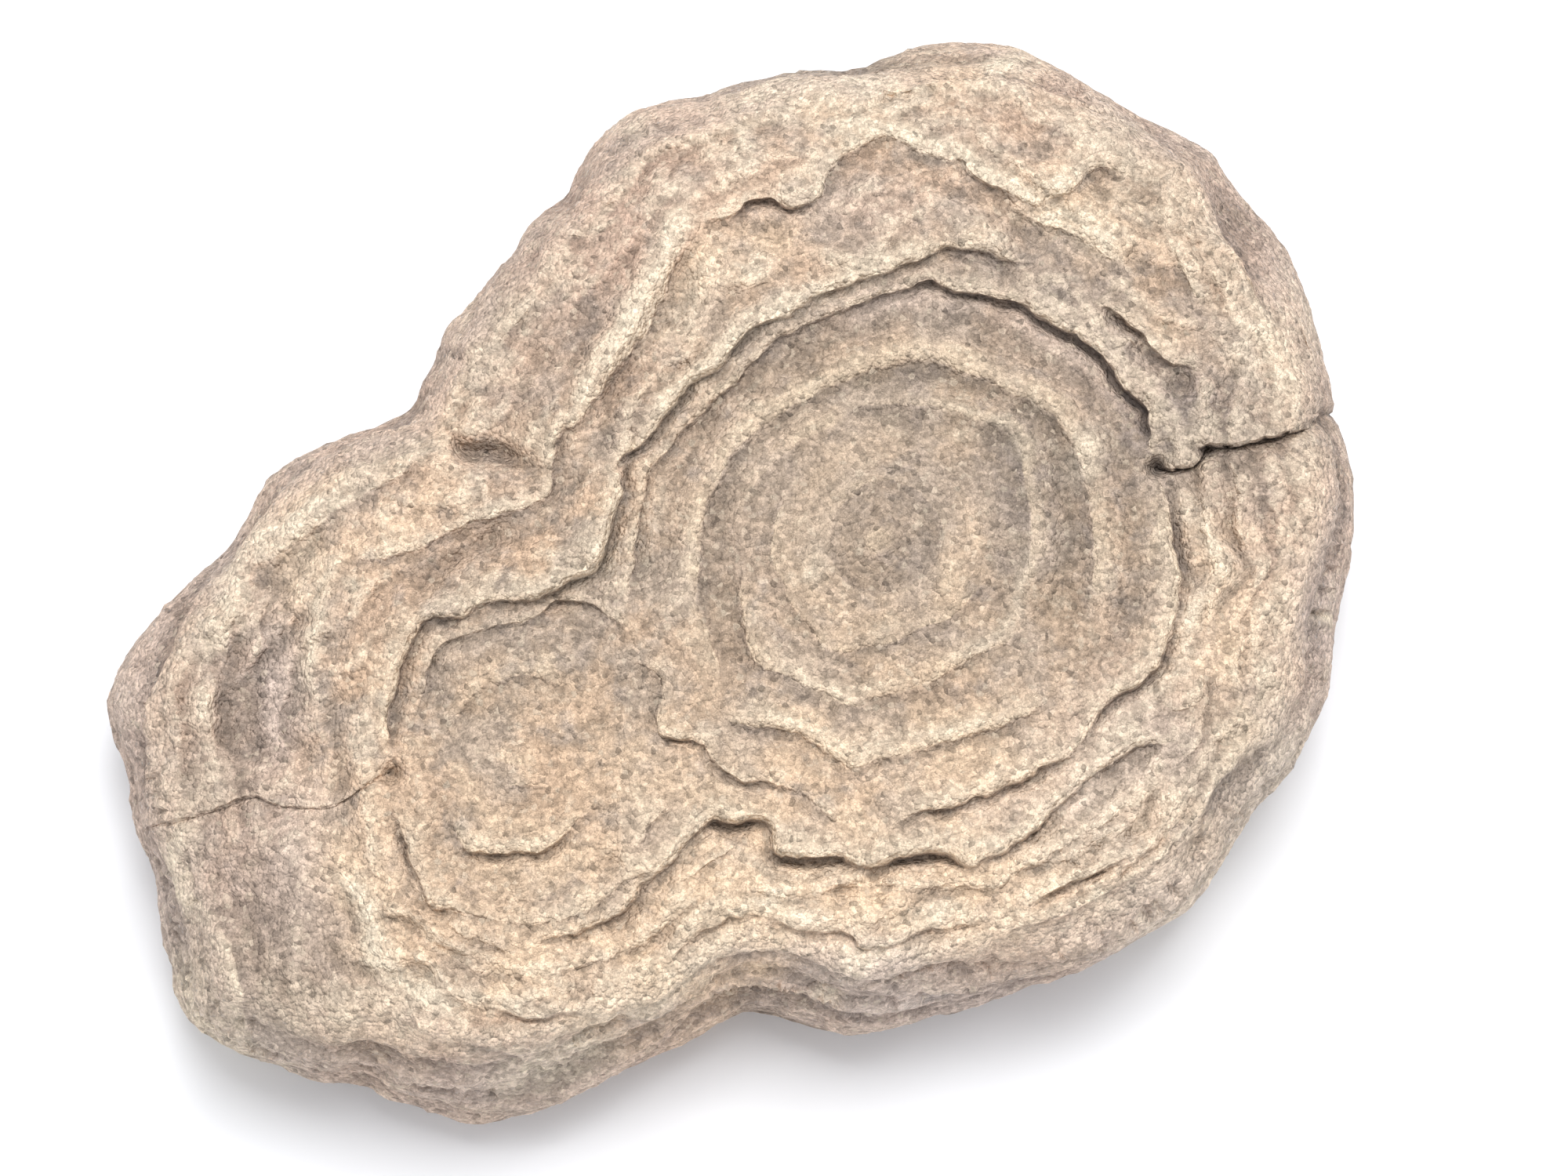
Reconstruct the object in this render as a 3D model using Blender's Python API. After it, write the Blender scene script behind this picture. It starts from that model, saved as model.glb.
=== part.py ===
"""A hand specimen of stromatolite: layered fossil rock in which two low domes grew together.

The stone lies on a flat underside. Its outline and the broken edges of its layers are drawn as
points in millimetres on a sheet that faces the eye: u runs to the right and v up the sheet, and
the eye looks down on the stone from a little in front. Each point of the sheet is then carried
along its line of sight to its real height, which gives the solid.
"""

import math
from collections import namedtuple

import bmesh
import bpy
import numpy as np
from mathutils import Vector, noise
from mathutils.geometry import delaunay_2d_cdt

MM = 0.001

# Where the eye stands: the sheet is held SHEET_DISTANCE away, over a point of the stone that is
# SHEET_LEVEL above the underside.
EYE_ELEVATION = math.radians(68)
SHEET_DISTANCE = 555.6
SHEET_LEVEL = 50.0
SHEET_CENTRE = (8.05, -18.0)

# Driving dimensions of the body, in millimetres.
TOP_LEVEL = 50.0
TOP_TILT = 0.045
BACK_RISE, BACK_FROM, BACK_OVER = 3.2, 30.0, 35.0
LEFT_DROP, LEFT_FROM, LEFT_OVER = 6.0, 58.0, 45.0
EDGE_ROLL, EDGE_REACH = 5.0, 12.0
RIM_LEVEL, RIM_TILT = 19.0, 0.10
ROUNDING, ROUNDING_TILT = 1.75, 0.006
BASE_INSET, BASE_INSET_BACK, BASE_INSET_SIDES = 10.5, 1.0, 5.0
NOTCH, NOTCH_DEPTH, NOTCH_WIDTH = (-3.0, -69.0), 8.0, 12.0
LUMP_HEIGHT, LUMP_SIZE = 1.3, 17.0
RIPPLE_HEIGHT, RIPPLE_SIZE = 0.45, 7.0
SIDE_LUMP, SIDE_LUMP_SIZE, SIDE_LUMP_FLATNESS = 4.2, 26.0, 2.6
SIDE_LAYER, SIDE_LAYER_PITCH, SIDE_WANDER = 3.0, 9.5, 45.0
SIDE_LAYER_SWAY, SIDE_LAYER_MIDDLE = 1.3, 0.5
RIM_SHARE, SIDE_HOLD, SIDE_FADE = 0.1, 3.0, 3.0
SIGHT_SHARE = 0.45
FOOT_TURN, FOOT_RISE = 5.5, 1.0
NICK_DEPTH, NICK_SIZE = 0.6, 4.3
CREVICE_MIDDLE, CREVICE_WIDTH, CREVICE_UNDER_LIP = 0.55, 0.75, 0.4
END_FADE, END_LEAST = 9.0, 0.15
CRACK_REACH, CRACK_OPENING, CRACK_LEAST = 7.0, 12.0, 0.3
EDGE_EASE = 1.5
STATION_REACH = 7.75
DEEPEST_HOLE = 7.0

# Where in the pattern of natural lumps each kind of unevenness is read.
NICK_PLACE, LUMP_PLACE, RIPPLE_PLACE, FILL_PLACE = 1.5, 3.7, 8.1, 0.5

# How finely the solid is drawn, in millimetres.
OUTLINE_STEP = 4.6
LEDGE_STEP = 3.1
FILL_STEP = 5.8
FILL_SHIFT = 1.6
FILL_CLEARANCE = 2.4
BORDER_SHARE = 0.22
BORDER_CLEARANCE = 0.7
NORMAL_SPREAD = 3
MERGE_GAP = 0.06
UPPER_ROWS = 8
LOWER_ROWS = 7

# The rows of points that draw a ledge, beside its line: its lip, its foot, and a row on the
# tread below a big one. A crack has a row down its middle and one past each edge.
LIP_ROW, FOOT_ROW, TREAD_ROW = 0.12, -0.55, -2.0
BIG_LEDGE = 1.6
CRACK_MARGIN = 0.15

STONE_COLOUR = (0.60, 0.47, 0.34, 1.0)
STONE_ROUGHNESS = 0.9

# The outline, clockwise from the notch at the left where the two domes meet.
OUTLINE = (
    (-59, 28.8), (-57.5, 32.9), (-55.3, 36.5), (-53.8, 40.8), (-50, 45), (-46.5, 49.6), (-43.3, 53.3),
    (-40, 58.5), (-35, 61.9), (-33.1, 65.8), (-30, 70.8), (-25, 75.2), (-18.3, 77.5), (-13.3, 78.3),
    (-7.9, 80.2), (0, 81.9), (5.8, 82.6), (10.8, 82.5), (16.7, 84.6), (22.1, 86.3), (29.2, 86.9),
    (35.8, 86.3), (42.5, 83.5), (47.5, 80.7), (51.7, 77.9), (57.5, 74.4), (62.9, 71.9), (67.9, 69),
    (70.4, 65.4), (73.8, 60.8), (78.1, 56.3), (81.3, 51.3), (84, 44.6), (85.8, 37.5), (87.7, 29.4),
    (86.9, 27.7), (88.3, 25.8), (90.2, 18.8), (90.6, 10.4), (89.8, 2.1), (87.9, -6.3), (86.7, -15.8),
    (84.2, -21.7), (80.4, -28.3), (75.8, -33.8), (72.1, -40.4), (68.3, -46.3), (63.8, -51.3),
    (58.3, -54.6), (50, -59.6), (43.3, -62.3), (36.3, -64.4), (30.8, -66.5), (23.3, -68.3),
    (16.7, -70.4), (9.6, -70.9), (2.5, -68.8), (-5, -67.2), (-10, -69.2), (-16.3, -72.5),
    (-23.3, -75.6), (-30, -79.2), (-36.7, -82.5), (-42.9, -84.2), (-50.4, -85), (-56.7, -83.2),
    (-63.8, -81.3), (-66.5, -79.4), (-73.3, -79), (-80, -76.7), (-86.7, -74.2), (-91.7, -71.5),
    (-95.8, -67.9), (-97.9, -60.8), (-99.6, -52.9), (-100.5, -45.8), (-103.5, -37.9), (-104.8, -30),
    (-106.9, -23.3), (-107.7, -18), (-104.8, -10.8), (-100.4, -4.8), (-95, 0.8), (-89.6, 5.2),
    (-85.4, 10.8), (-82.1, 16.7), (-77.5, 20.4), (-70.4, 23.8), (-64.2, 25.8),
)

# How far in from the outline the sides turn into the top, at stations around it: (u, v, width).
SHOULDERS = (
    (14, -71, 11.5), (32, -66, 10.5), (50, -60, 9.0), (70, -43, 7.0), (86, -16, 7.0), (90, 12, 6.5),
    (87, 30, 6.0), (80, 53, 7.5), (62, 72, 8.0), (42, 84, 7.0), (20, 86, 6.5), (-8, 80, 7.0),
    (-32, 69, 7.5), (-48, 47, 7.5), (-59, 29, 6.0), (-80, 18, 7.0), (-98, -2, 8.0), (-107, -20, 8.0),
    (-101, -42, 8.0), (-97, -64, 8.5), (-82, -76, 10.0), (-64, -81, 13.5), (-50, -85, 14.0),
    (-30, -79, 11.5), (-15, -72, 12.5), (-6, -67, 13.5),
)

# A ledge is the broken edge of a layer: a step of height step, high on the side that high names
# as one walks along its points, with a crevice of depth crevice under it. Away from the edge the
# step fades out within reach.
Ledge = namedtuple("Ledge", "points high step crevice reach closed", defaults=(9.0, False))

BACK_LEDGES = (
    Ledge(((53.8, 51), (47.5, 50.8), (40, 51.8), (34, 52.6), (30, 54.2), (23.3, 53.5), (17.5, 50.6),
           (10.8, 48.5), (7.5, 47.7), (2.1, 44.6), (-4.8, 41.5), (-9.8, 36.5), (-10.4, 35),
           (-14.6, 33.3), (-17.5, 28.8), (-22.9, 22.9), (-26.3, 19.6), (-26, 15.4), (-27.5, 10.8),
           (-29.6, 3.8), (-34.2, 1.5), (-40, -1.7), (-47.5, -2.1), (-51.7, -4.8), (-56.7, -4.8),
           (-60, -9.6), (-62.9, -20), (-62.5, -27)), "right", 2.8, 1.7, 11.0),
    Ledge(((-25.2, -3.3), (-24.2, 2.1), (-23.3, 10.8), (-21.5, 18.3), (-17, 24), (-9.5, 31.5),
           (-2.9, 38.3), (1.7, 41.3), (7.5, 43.5), (15.8, 46.5), (19.2, 47.7), (23.3, 48.8),
           (28.3, 47.1), (37.9, 45.2), (42.1, 42.3), (47.5, 39.8), (51.7, 35.8), (54.2, 31.7),
           (57.9, 27.9), (58.3, 22.1), (58.8, 20.6)), "left", 1.9, 1.1),
    Ledge(((-23.8, -8.3), (-26.7, -5.8), (-30.8, -2.4), (-36.3, -2.6), (-40, -4.9), (-47.9, -6.8),
           (-54.8, -9.4), (-56.5, -12.5), (-58.3, -20.4)), "right", 1.1, 0.8),
    Ledge(((48.3, 45.8), (53.3, 43.3), (56.7, 40.8), (59.6, 37.1), (65.8, 34.6)), "left", 1.2, 1.3),
    Ledge(((-12.9, 58.3), (-7.9, 60.2), (-2.9, 62.3), (0.8, 61), (5.4, 62.1), (7.5, 66.7),
           (12.1, 70.6), (17.5, 72.1), (22.5, 69.4), (28.3, 68.3), (30.2, 66), (35.8, 63.3),
           (40.4, 61.3), (45.4, 63.8), (49.8, 67.1), (56.7, 65.4)), "left", 2.4, 1.5),
    Ledge(((-15.4, 56.5), (-18.4, 50), (-20, 45), (-23.3, 39.2), (-28.3, 33.3), (-32.5, 27.1),
           (-36.3, 23.8), (-37.3, 15.4), (-41.3, 12.9), (-48.3, 11), (-53.3, 9.2), (-59.2, 5.8),
           (-69.2, 4.2)), "right", 2.3, 1.1),
    Ledge(((-52.5, 23.3), (-57.9, 21.3), (-62.1, 17.7), (-67.1, 15), (-72.5, 11.7), (-77.8, 7.8),
           (-83.3, 3.6), (-86.9, -2.5), (-89.4, -11.3)), "right", 1.5, 1.0),
    Ledge(((-70, 6.7), (-72.7, 3), (-74.6, -4.2), (-76.3, -14.2), (-74.6, -18.8)), "left", 1.1, 0.6),
    Ledge(((-80, -0.8), (-83.8, -5), (-83.3, -8.3), (-84.6, -11.7)), "right", 1.0, 0.6),
    Ledge(((54.6, 61.7), (59.6, 57.9), (62.5, 52.9), (65, 47.5), (69.6, 43.8)), "left", 1.0, 0.7),
    Ledge(((39.6, 79.8), (42, 77.5), (45, 76), (50, 75.3), (54.5, 74.3)), "left", 0.8, 0.9),
    Ledge(((-37, 54.5), (-34.5, 56), (-31, 56.5), (-27, 58.3)), "left", 0.8, 0.8),
    Ledge(((-46, 38.5), (-44, 41), (-41, 44), (-40.5, 46.5)), "left", 0.8, 0.8),
    Ledge(((80.4, 42.9), (82.1, 39.6), (84.2, 33.3), (85.4, 31)), "left", 0.8, 1.2),
)

FRONT_LEDGES = (
    Ledge(((-62.5, -33.8), (-60.6, -40), (-59.4, -44.5), (-57.5, -47.7), (-55.6, -50.8),
           (-50, -52.7)), "left", 1.2, 1.1),
    Ledge(((-54.2, -52.9), (-51.3, -55.6), (-48.3, -55.8), (-42.5, -59)), "left", 0.9, 0.8),
    Ledge(((-40, -57.1), (-35.4, -55.6), (-32.5, -55), (-27.5, -52.1), (-23.8, -49.6),
           (-22.5, -47.5), (-16.7, -42.1), (-12.1, -37.1), (-8.3, -37.7), (-2.9, -37.2),
           (-1, -42.3), (1.3, -42.9), (7.9, -42.5), (12.1, -44), (15, -44.6), (18.3, -42.9),
           (25.4, -42.3), (29.2, -44.6), (31.3, -43.8), (36.7, -40.4), (44, -34.5), (50, -30),
           (53.8, -27), (56.7, -25.4), (62.1, -24.2)), "left", 2.6, 1.7, 11.0),
    Ledge(((61.7, -28.3), (65.8, -24.8), (67.3, -19), (67.5, -12.5)), "left", 0.9, 0.7),
    Ledge(((16.7, -38.8), (21.7, -36), (28.3, -34.2), (35, -31.5), (42.9, -27.7), (47.5, -24.6),
           (50.4, -19.6), (54.2, -16.5), (59.6, -12.9), (61.7, -6.3), (63.5, 1.3), (62.3, 6),
           (61.3, 13.3), (59.8, 17.4)), "left", 2.3, 1.4),
    Ledge(((-24.2, -41.7), (-22.5, -40.6), (-21.3, -37.5), (-18.3, -35)), "left", 0.8, 0.7),
    Ledge(((-17.5, -47.5), (-12.1, -44.2), (-7.9, -40.8)), "left", 0.8, 0.7),
    Ledge(((-61.7, -50.8), (-56.5, -56.6), (-50.8, -60), (-46, -61.4), (-40.5, -61.8), (-34.5, -60.6),
           (-27.5, -58.4), (-22, -56.6), (-16, -51.4), (-10, -47.6)), "left", 1.8, 0.8, 6.0),
    Ledge(((-60, -46.5), (-56.5, -50), (-50.5, -52), (-42.5, -53.5), (-36.5, -53), (-30.5, -50.5),
           (-25.5, -46.5), (-19.5, -44), (-16.5, -39.6)), "left", 1.5, 0.8, 5.0),
    Ledge(((14, -48.6), (24, -47.6), (33, -47.4), (41, -43.6), (49, -38.4), (57, -33.6), (63, -29.4)),
          "left", 1.4, 0.6, 5.0),
    Ledge(((34, -55.4), (43, -52.6), (52, -48.6), (60, -43), (66, -36.4), (70, -29)),
          "left", 1.5, 0.5, 6.0),
    Ledge(((-18.3, -59.2), (-13.8, -55.4), (-8.8, -52.5), (-2.5, -52.7), (3.8, -54.6),
           (10, -55), (12.5, -57.1), (17.5, -56.9), (23.3, -54.6), (31.7, -53.8)), "left", 1.2, 1.0),
    Ledge(((-74.6, -45.8), (-70, -47.9), (-67.9, -51.3), (-67.5, -55.4), (-66.3, -59.6),
           (-63.8, -62.9), (-56, -67.3), (-49.2, -70.4)), "left", 2.4, 0.8),
    Ledge(((-46.7, -67.1), (-43.3, -67.9), (-38.3, -68.8), (-31.7, -67.1)), "left", 1.6, 1.2),
    Ledge(((-36.7, -72.5), (-32.9, -70.4), (-26.7, -67.9), (-19.2, -65.4), (-17.1, -62.1)),
          "left", 1.8, 0.8),
    Ledge(((-93.3, -37.5), (-95, -44.2), (-93.8, -48.3), (-90, -53.8), (-87.5, -59.6),
           (-85, -67.9), (-80, -73.8)), "right", 1.3, 0.8),
    Ledge(((69.6, 7.1), (72.5, 2.5), (68.3, -1.3), (67.9, -5.4)), "left", 0.7, 0.9),
    Ledge(((60, -20.4), (65.8, -18.3), (67, -13.5)), "left", 0.7, 0.9),
    Ledge(((73.3, -17.1), (72.1, -11.7), (73.8, -8.8), (72.9, -4.2), (77.1, 2.9), (77.5, 6.3)),
          "left", 0.9, 0.7),
)

SIDE_LEDGES = (
    Ledge(((27.5, -65.4), (35.8, -63.2), (42.9, -59.4), (50.8, -55.4), (58.3, -51.1),
           (62.5, -48.4)), "left", 0.4, 2.6, 5.0),
    Ledge(((-67.5, -74.6), (-60.8, -75.4), (-57.5, -78.6), (-52.9, -81)), "left", 0.4, 2.2, 5.0),
    Ledge(((-1.5, -64.2), (3.8, -62.9), (10.8, -62.9), (19.2, -61.7), (24, -61.7)), "left", 0.5, 2.4, 5.0),
    Ledge(((-49.5, -72.5), (-41.5, -74.6), (-33.3, -73.6), (-26, -71.2)), "left", 0.5, 1.6, 5.0),
    Ledge(((-96, -29), (-98.5, -20), (-97.5, -12), (-93, -5.5)), "right", 0.8, 0.8, 6.0),
)

# The rings of the two domes, from the middle outwards.
DOME_LEDGES = (
    Ledge(((10, 14.6), (15.8, 16.9), (19.2, 17.1), (24.6, 12.9), (25.4, 10.4), (24.6, 5.4),
           (21.7, 2.1), (18.3, -0.4), (11.7, -0.4), (7.1, 4.6), (7.9, 9)), "left", 1.0, 0.4, 5.0, True),
    Ledge(((0.8, 17.1), (-0.9, 11.3), (-2.1, 6.3), (-0.2, 0.4), (3.8, -6.3), (8.3, -9.8),
           (15.4, -9), (21.7, -6.5), (27.1, -4.4), (32.9, 2.5)), "left", 0.8, 0.6, 6.0),
    Ledge(((-6.7, 4.6), (-6.8, -3), (-4.6, -11.7), (1.3, -14.2), (6.7, -16.7), (10.8, -18.9),
           (15.4, -16.8), (20.4, -16.3), (25.4, -14), (32.5, -9.8), (38.8, -6.5)),
          "left", 1.0, 0.8, 6.0),
    Ledge(((37.4, -1.3), (39.4, 6.3), (38.8, 14.6), (36.7, 24.6), (29.2, 27.3), (22.9, 28.8),
           (13.3, 29.2), (5.4, 24.6), (0, 21.7), (-6.3, 13.8), (-7.1, 9.2)), "right", 0.8, 0.3, 6.0),
    Ledge(((42.5, -13.8), (47.6, -5.4), (49.6, 4.2), (48.2, 16.5), (46.1, 22.8), (41.9, 28.2),
           (37, 31), (31.2, 33.8), (25, 35.4), (20, 36), (14.6, 35.2), (9, 32.6), (3.8, 30.4),
           (-6.9, 22.8), (-12.1, 13.4), (-13.4, 6.3), (-13.8, -2.1), (-11.2, -9.6), (-9.6, -16.4)),
          "right", 1.1, 0.2, 5.0),
    Ledge(((-10.8, -19.8), (-6.7, -21.7), (0, -22.5), (5.4, -25), (10, -28.3), (16.7, -27.1),
           (23.3, -25.8), (30, -23.3), (36.3, -21.3), (42.5, -17.9)), "left", 1.2, 0.9, 6.0),
    Ledge(((-27.1, -10.8), (-21.3, -12.7), (-19.8, -16.7), (-19.6, -22.5), (-13.3, -24.8),
           (-10.8, -27.9), (-6.3, -30.6), (0, -31.5), (4.6, -34.2), (10.8, -38.8)), "left", 1.0, 1.2),
    Ledge(((-53.3, -36.3), (-50, -41.7), (-43.3, -42.3), (-37.1, -41.3), (-32.5, -36.7),
           (-28.3, -34)), "left", 1.2, 0.9, 6.0),
    Ledge(((-44.6, -31.3), (-41, -31.8), (-36.3, -31.3)), "left", 0.5, 0.5, 4.0),
    Ledge(((-54.5, -24), (-50.5, -17.5), (-44, -14.2), (-37, -14.6), (-31.6, -18.6)),
          "left", 0.8, 0.4, 5.0),
)

# Ridges stand up from the top along their points, and valleys, with a height below nought, sink
# into it: (points, height, half width).
Ridge = namedtuple("Ridge", "points height width")
RIDGES = (
    Ridge(((-12.1, 60.4), (-17, 57.8), (-21.7, 49.2), (-24.6, 42.9), (-30, 35), (-33.5, 29.5)), 1.1, 3.0),
    Ridge(((-68, 15.5), (-77.5, 10.4), (-85.4, 3.8), (-89.2, -5), (-91.3, -11.3)), 1.0, 3.5),
    Ridge(((-93.3, -15), (-92.9, -19.6), (-93.3, -22.9)), 1.0, 2.6),
    Ridge(((63.8, 17), (66.3, 9.6), (69.6, 2.9), (65, -4.2), (63.6, -9.5)), 1.0, 3.0),
    Ridge(((46.7, 62), (49.6, 59.2), (53.3, 55.4), (55.4, 52.9)), 1.1, 2.2),
    Ridge(((-15.6, -2), (-15.2, 6.3), (-13.8, 14.2), (-8.2, 24.4), (3.2, 32), (10, 35), (15, 37),
           (20, 38.4), (25.4, 37.9), (30.4, 36.4), (36, 33.6), (43, 30), (47, 25.4), (49, 22),
           (50.2, 16.5), (51.4, 4.2), (49.1, -5.4)), 0.8, 2.2),
    Ridge(((-6.6, 8), (-5.8, 14.4), (0.4, 22.3), (5.4, 25.2), (13.3, 29.6), (22.9, 29.2), (29.2, 27.7),
           (36.9, 25), (38.8, 14.6), (39.6, 6.3), (37.4, -1.3)), 0.7, 2.0),
    Ridge(((-30, 62), (-22, 68), (-18, 69.5), (-12, 71.5)), -1.6, 2.8),
    Ridge(((-27, 70), (-33, 62), (-38, 54), (-43.5, 45), (-47, 38)), -1.3, 2.8),
    Ridge(((-85.6, -7.5), (-87.9, -12.1), (-89.8, -16), (-89.8, -19.6), (-88.9, -23), (-89.6, -28)),
          -1.3, 2.2),
)

# Lumps and hollows: (u, v, height, half width), a hollow with a height below nought.
LUMPS = (
    (14.6, 7.5, 1.1, 3.2), (-42, -28.5, 0.9, 5.0), (-83.5, -19, -2.6, 7.5), (-84, -52, -1.2, 6.0),
    (-47.5, 21.6, -1.6, 3.6), (-46, 6.8, -1.3, 3.0), (63.8, 33.4, -1.4, 1.9), (-27.1, -43.8, -1.2, 1.4),
    (-62.5, -29.6, -2.4, 1.7), (-3, 56.5, -1.4, 5.0), (-48.8, -72.5, -1.4, 3.0), (-5, -66, -2.5, 4.5),
    (7.3, -64.8, 0.9, 1.6), (79, 0, 0.8, 6.0), (-75, -62, -1.2, 8.0), (72, 60, -0.8, 6.0),
)

# Cracks are narrow and cut through the layers: (points, depth, half width, step).
Crack = namedtuple("Crack", "points depth width step")
CRACKS = (
    Crack(((59.4, 19.4), (62.1, 18.8), (65.8, 19.8), (67.5, 22.5), (72.5, 22.7), (78.3, 24),
           (82.9, 25.8), (85, 28.2), (86.9, 27.7)), 5.5, 0.75, 1.4),
    Crack(((-103, -38.2), (-97.5, -37.3), (-92.1, -36), (-86.7, -33.8), (-83.3, -33.3), (-81.3, -34.6),
           (-72.5, -35), (-66, -31), (-62.5, -28.6)), 2.6, 0.6, 0.4),
)
CRACK_HOLE = (59.6, 19.2, -4.5, 1.7)


def smooth_line(points, step, closed=False):
    """Points about step apart on a smooth curve through the given ones, which stay on it."""
    given = [np.array(p, float) for p in points]
    count = len(given)
    pieces = count if closed else count - 1
    line = []
    for i in range(pieces):
        if closed:
            a, b, c, d = (given[(i + k) % count] for k in (-1, 0, 1, 2))
        else:
            a, b, c, d = (given[min(max(i + k, 0), count - 1)] for k in (-1, 0, 1, 2))
        parts = max(1, round(float(np.linalg.norm(c - b)) / step))
        for part in range(parts):
            t = part / parts
            line.append(0.5 * (2 * b + (c - a) * t + (2 * a - 5 * b + 4 * c - d) * t * t
                               + (3 * b - a - 3 * c + d) * t ** 3))
    if not closed:
        line.append(given[-1])
    return np.array(line)


def broken_line(points, closed=False):
    """The line of a layer's edge, nicked to each side as broken rock is."""
    line = smooth_line(points, LEDGE_STEP, closed)
    nicks = [noise.noise_vector(Vector((u, v, NICK_PLACE)) / NICK_SIZE) for u, v in line]
    return line + NICK_DEPTH * np.array([(nick.x, nick.y) for nick in nicks])


def measure(line, spots, closed=False):
    """For each spot: how far it is from the line, which side it is on (1 at the left as one
    walks along it), and how far along the line its nearest point is, from 0 to 1."""
    starts = line if closed else line[:-1]
    ends = np.roll(line, -1, axis=0) if closed else line[1:]
    runs = ends - starts
    lengths = np.linalg.norm(runs, axis=1)
    before = np.concatenate([[0.0], np.cumsum(lengths)[:-1]])
    offset = spots[:, None, :] - starts[None]
    along = np.clip((offset * runs).sum(2) / (lengths ** 2), 0, 1)
    gap = offset - along[..., None] * runs
    distance = np.linalg.norm(gap, axis=2)
    nearest = distance.argmin(axis=1)
    rows = np.arange(len(spots))
    cross = runs[nearest, 0] * offset[rows, nearest, 1] - runs[nearest, 1] * offset[rows, nearest, 0]
    place = (before + along * lengths)[rows, nearest] / lengths.sum()
    return distance[rows, nearest], np.where(cross >= 0, 1.0, -1.0), place


def ease(value):
    """0 below nought, 1 above one, and a smooth rise between."""
    t = np.clip(value, 0, 1)
    return t * t * (3 - 2 * t)


def fade_at_ends(place, length):
    """1 along the middle of a line, falling to nearly 0 at both its ends."""
    ends = np.minimum(place, 1 - place) * length
    return ease(ends / min(END_FADE, length / 3) + END_LEAST)


def line_length(line):
    return float(np.linalg.norm(np.diff(line, axis=0), axis=1).sum())


def unevenness(spots, size, height, place):
    """Gentle lumps of the given size and height, read at a place in the natural pattern."""
    return np.array([height * noise.noise(Vector((u / size, v / size, place))) for u, v in spots])


def ledge_height(spots):
    """What the ledges, ridges, lumps and cracks add to the height at each spot."""
    height = np.zeros(len(spots))
    for ledge in BACK_LEDGES + FRONT_LEDGES + SIDE_LEDGES + DOME_LEDGES:
        line = broken_line(ledge.points, ledge.closed)
        distance, side, place = measure(line, spots, ledge.closed)
        high = side if ledge.high == "left" else -side
        strength = 1.0 if ledge.closed else fade_at_ends(place, line_length(line))
        fall = np.exp(-distance / ledge.reach)
        height += strength * ledge.step / 2 * fall * high
        below = np.where(high < 0, distance, distance + CREVICE_UNDER_LIP)
        height -= strength * ledge.crevice * np.exp(-((below - CREVICE_MIDDLE) / CREVICE_WIDTH) ** 2)
    for ridge in RIDGES:
        line = broken_line(ridge.points)
        distance, _, place = measure(line, spots)
        strength = fade_at_ends(place, line_length(line))
        height += strength * ridge.height * np.exp(-(distance / ridge.width) ** 2)
    for u, v, rise, width in LUMPS + (CRACK_HOLE,):
        away = np.hypot(spots[:, 0] - u, spots[:, 1] - v)
        height += rise * np.exp(-(away / width) ** 2)
    for crack in CRACKS:
        line = smooth_line(crack.points, LEDGE_STEP)
        distance, side, place = measure(line, spots)
        strength = ease(place * CRACK_OPENING + CRACK_LEAST)
        height += strength * crack.step / 2 * side * np.exp(-distance / CRACK_REACH)
        height -= strength * crack.depth * np.exp(-(distance / crack.width) ** 2)
    return np.maximum(height, -DEEPEST_HOLE)


def shoulder_width(spots):
    """How wide the rounded side is near each spot."""
    total = np.zeros(len(spots))
    weights = np.zeros(len(spots))
    for u, v, width in SHOULDERS:
        away = np.hypot(spots[:, 0] - u, spots[:, 1] - v)
        weight = 1 / (1 + (away / STATION_REACH) ** 2) ** 2
        total += weight * width
        weights += weight
    return total / weights


def upper_place(spots, outline):
    """The places in the stone's own frame of spots of the sheet."""
    u, v = spots[:, 0], spots[:, 1]
    inward = measure(outline, spots, closed=True)[0]
    top = TOP_LEVEL + TOP_TILT * v
    top += BACK_RISE * ease((v - BACK_FROM) / BACK_OVER)
    top -= LEFT_DROP * ease((-u - LEFT_FROM) / LEFT_OVER)
    top -= EDGE_ROLL * np.exp(-inward / EDGE_REACH)
    top += unevenness(spots, LUMP_SIZE, LUMP_HEIGHT, LUMP_PLACE)
    top += unevenness(spots, RIPPLE_SIZE, RIPPLE_HEIGHT, RIPPLE_PLACE)
    rim = RIM_LEVEL + RIM_TILT * v
    power = ROUNDING + ROUNDING_TILT * v
    turn = 1 - np.clip(inward / shoulder_width(spots), 0, 1)
    height = rim + (top - rim) * (1 - turn ** power) ** (1 / power)
    height += ledge_height(spots) * ease(inward / EDGE_EASE)
    nearest = np.linalg.norm(spots[:, None] - outline[None], axis=2).argmin(axis=1)
    outward = normals_of(outline, NORMAL_SPREAD)[nearest]
    share = RIM_SHARE * turn + 4 * (1 - RIM_SHARE) * turn * (1 - turn)
    return stand_out(lay(u, v, height), outward, share)


def lay(u, v, height):
    """The place in the stone's own frame of a point seen at (u, v) on the sheet."""
    up = height - SHEET_LEVEL
    sine, cosine = math.sin(EYE_ELEVATION), math.cos(EYE_ELEVATION)
    y = (v * (SHEET_DISTANCE - up * sine) - SHEET_DISTANCE * up * cosine)
    y = y / (SHEET_DISTANCE * sine - v * cosine)
    x = u * (SHEET_DISTANCE + y * cosine - up * sine) / SHEET_DISTANCE
    return np.stack([x + SHEET_CENTRE[0], y + SHEET_CENTRE[1], height], axis=-1)


def normals_of(loop, spread):
    """Unit vectors that point out of a clockwise loop, taken over spread points to each side."""
    ahead = sum(np.roll(loop, -k, axis=0) for k in range(1, spread + 1))
    behind = sum(np.roll(loop, k, axis=0) for k in range(1, spread + 1))
    run = ahead - behind
    outward = np.stack([-run[:, 1], run[:, 0]], axis=1)
    return outward / np.linalg.norm(outward, axis=1)[:, None]


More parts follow.
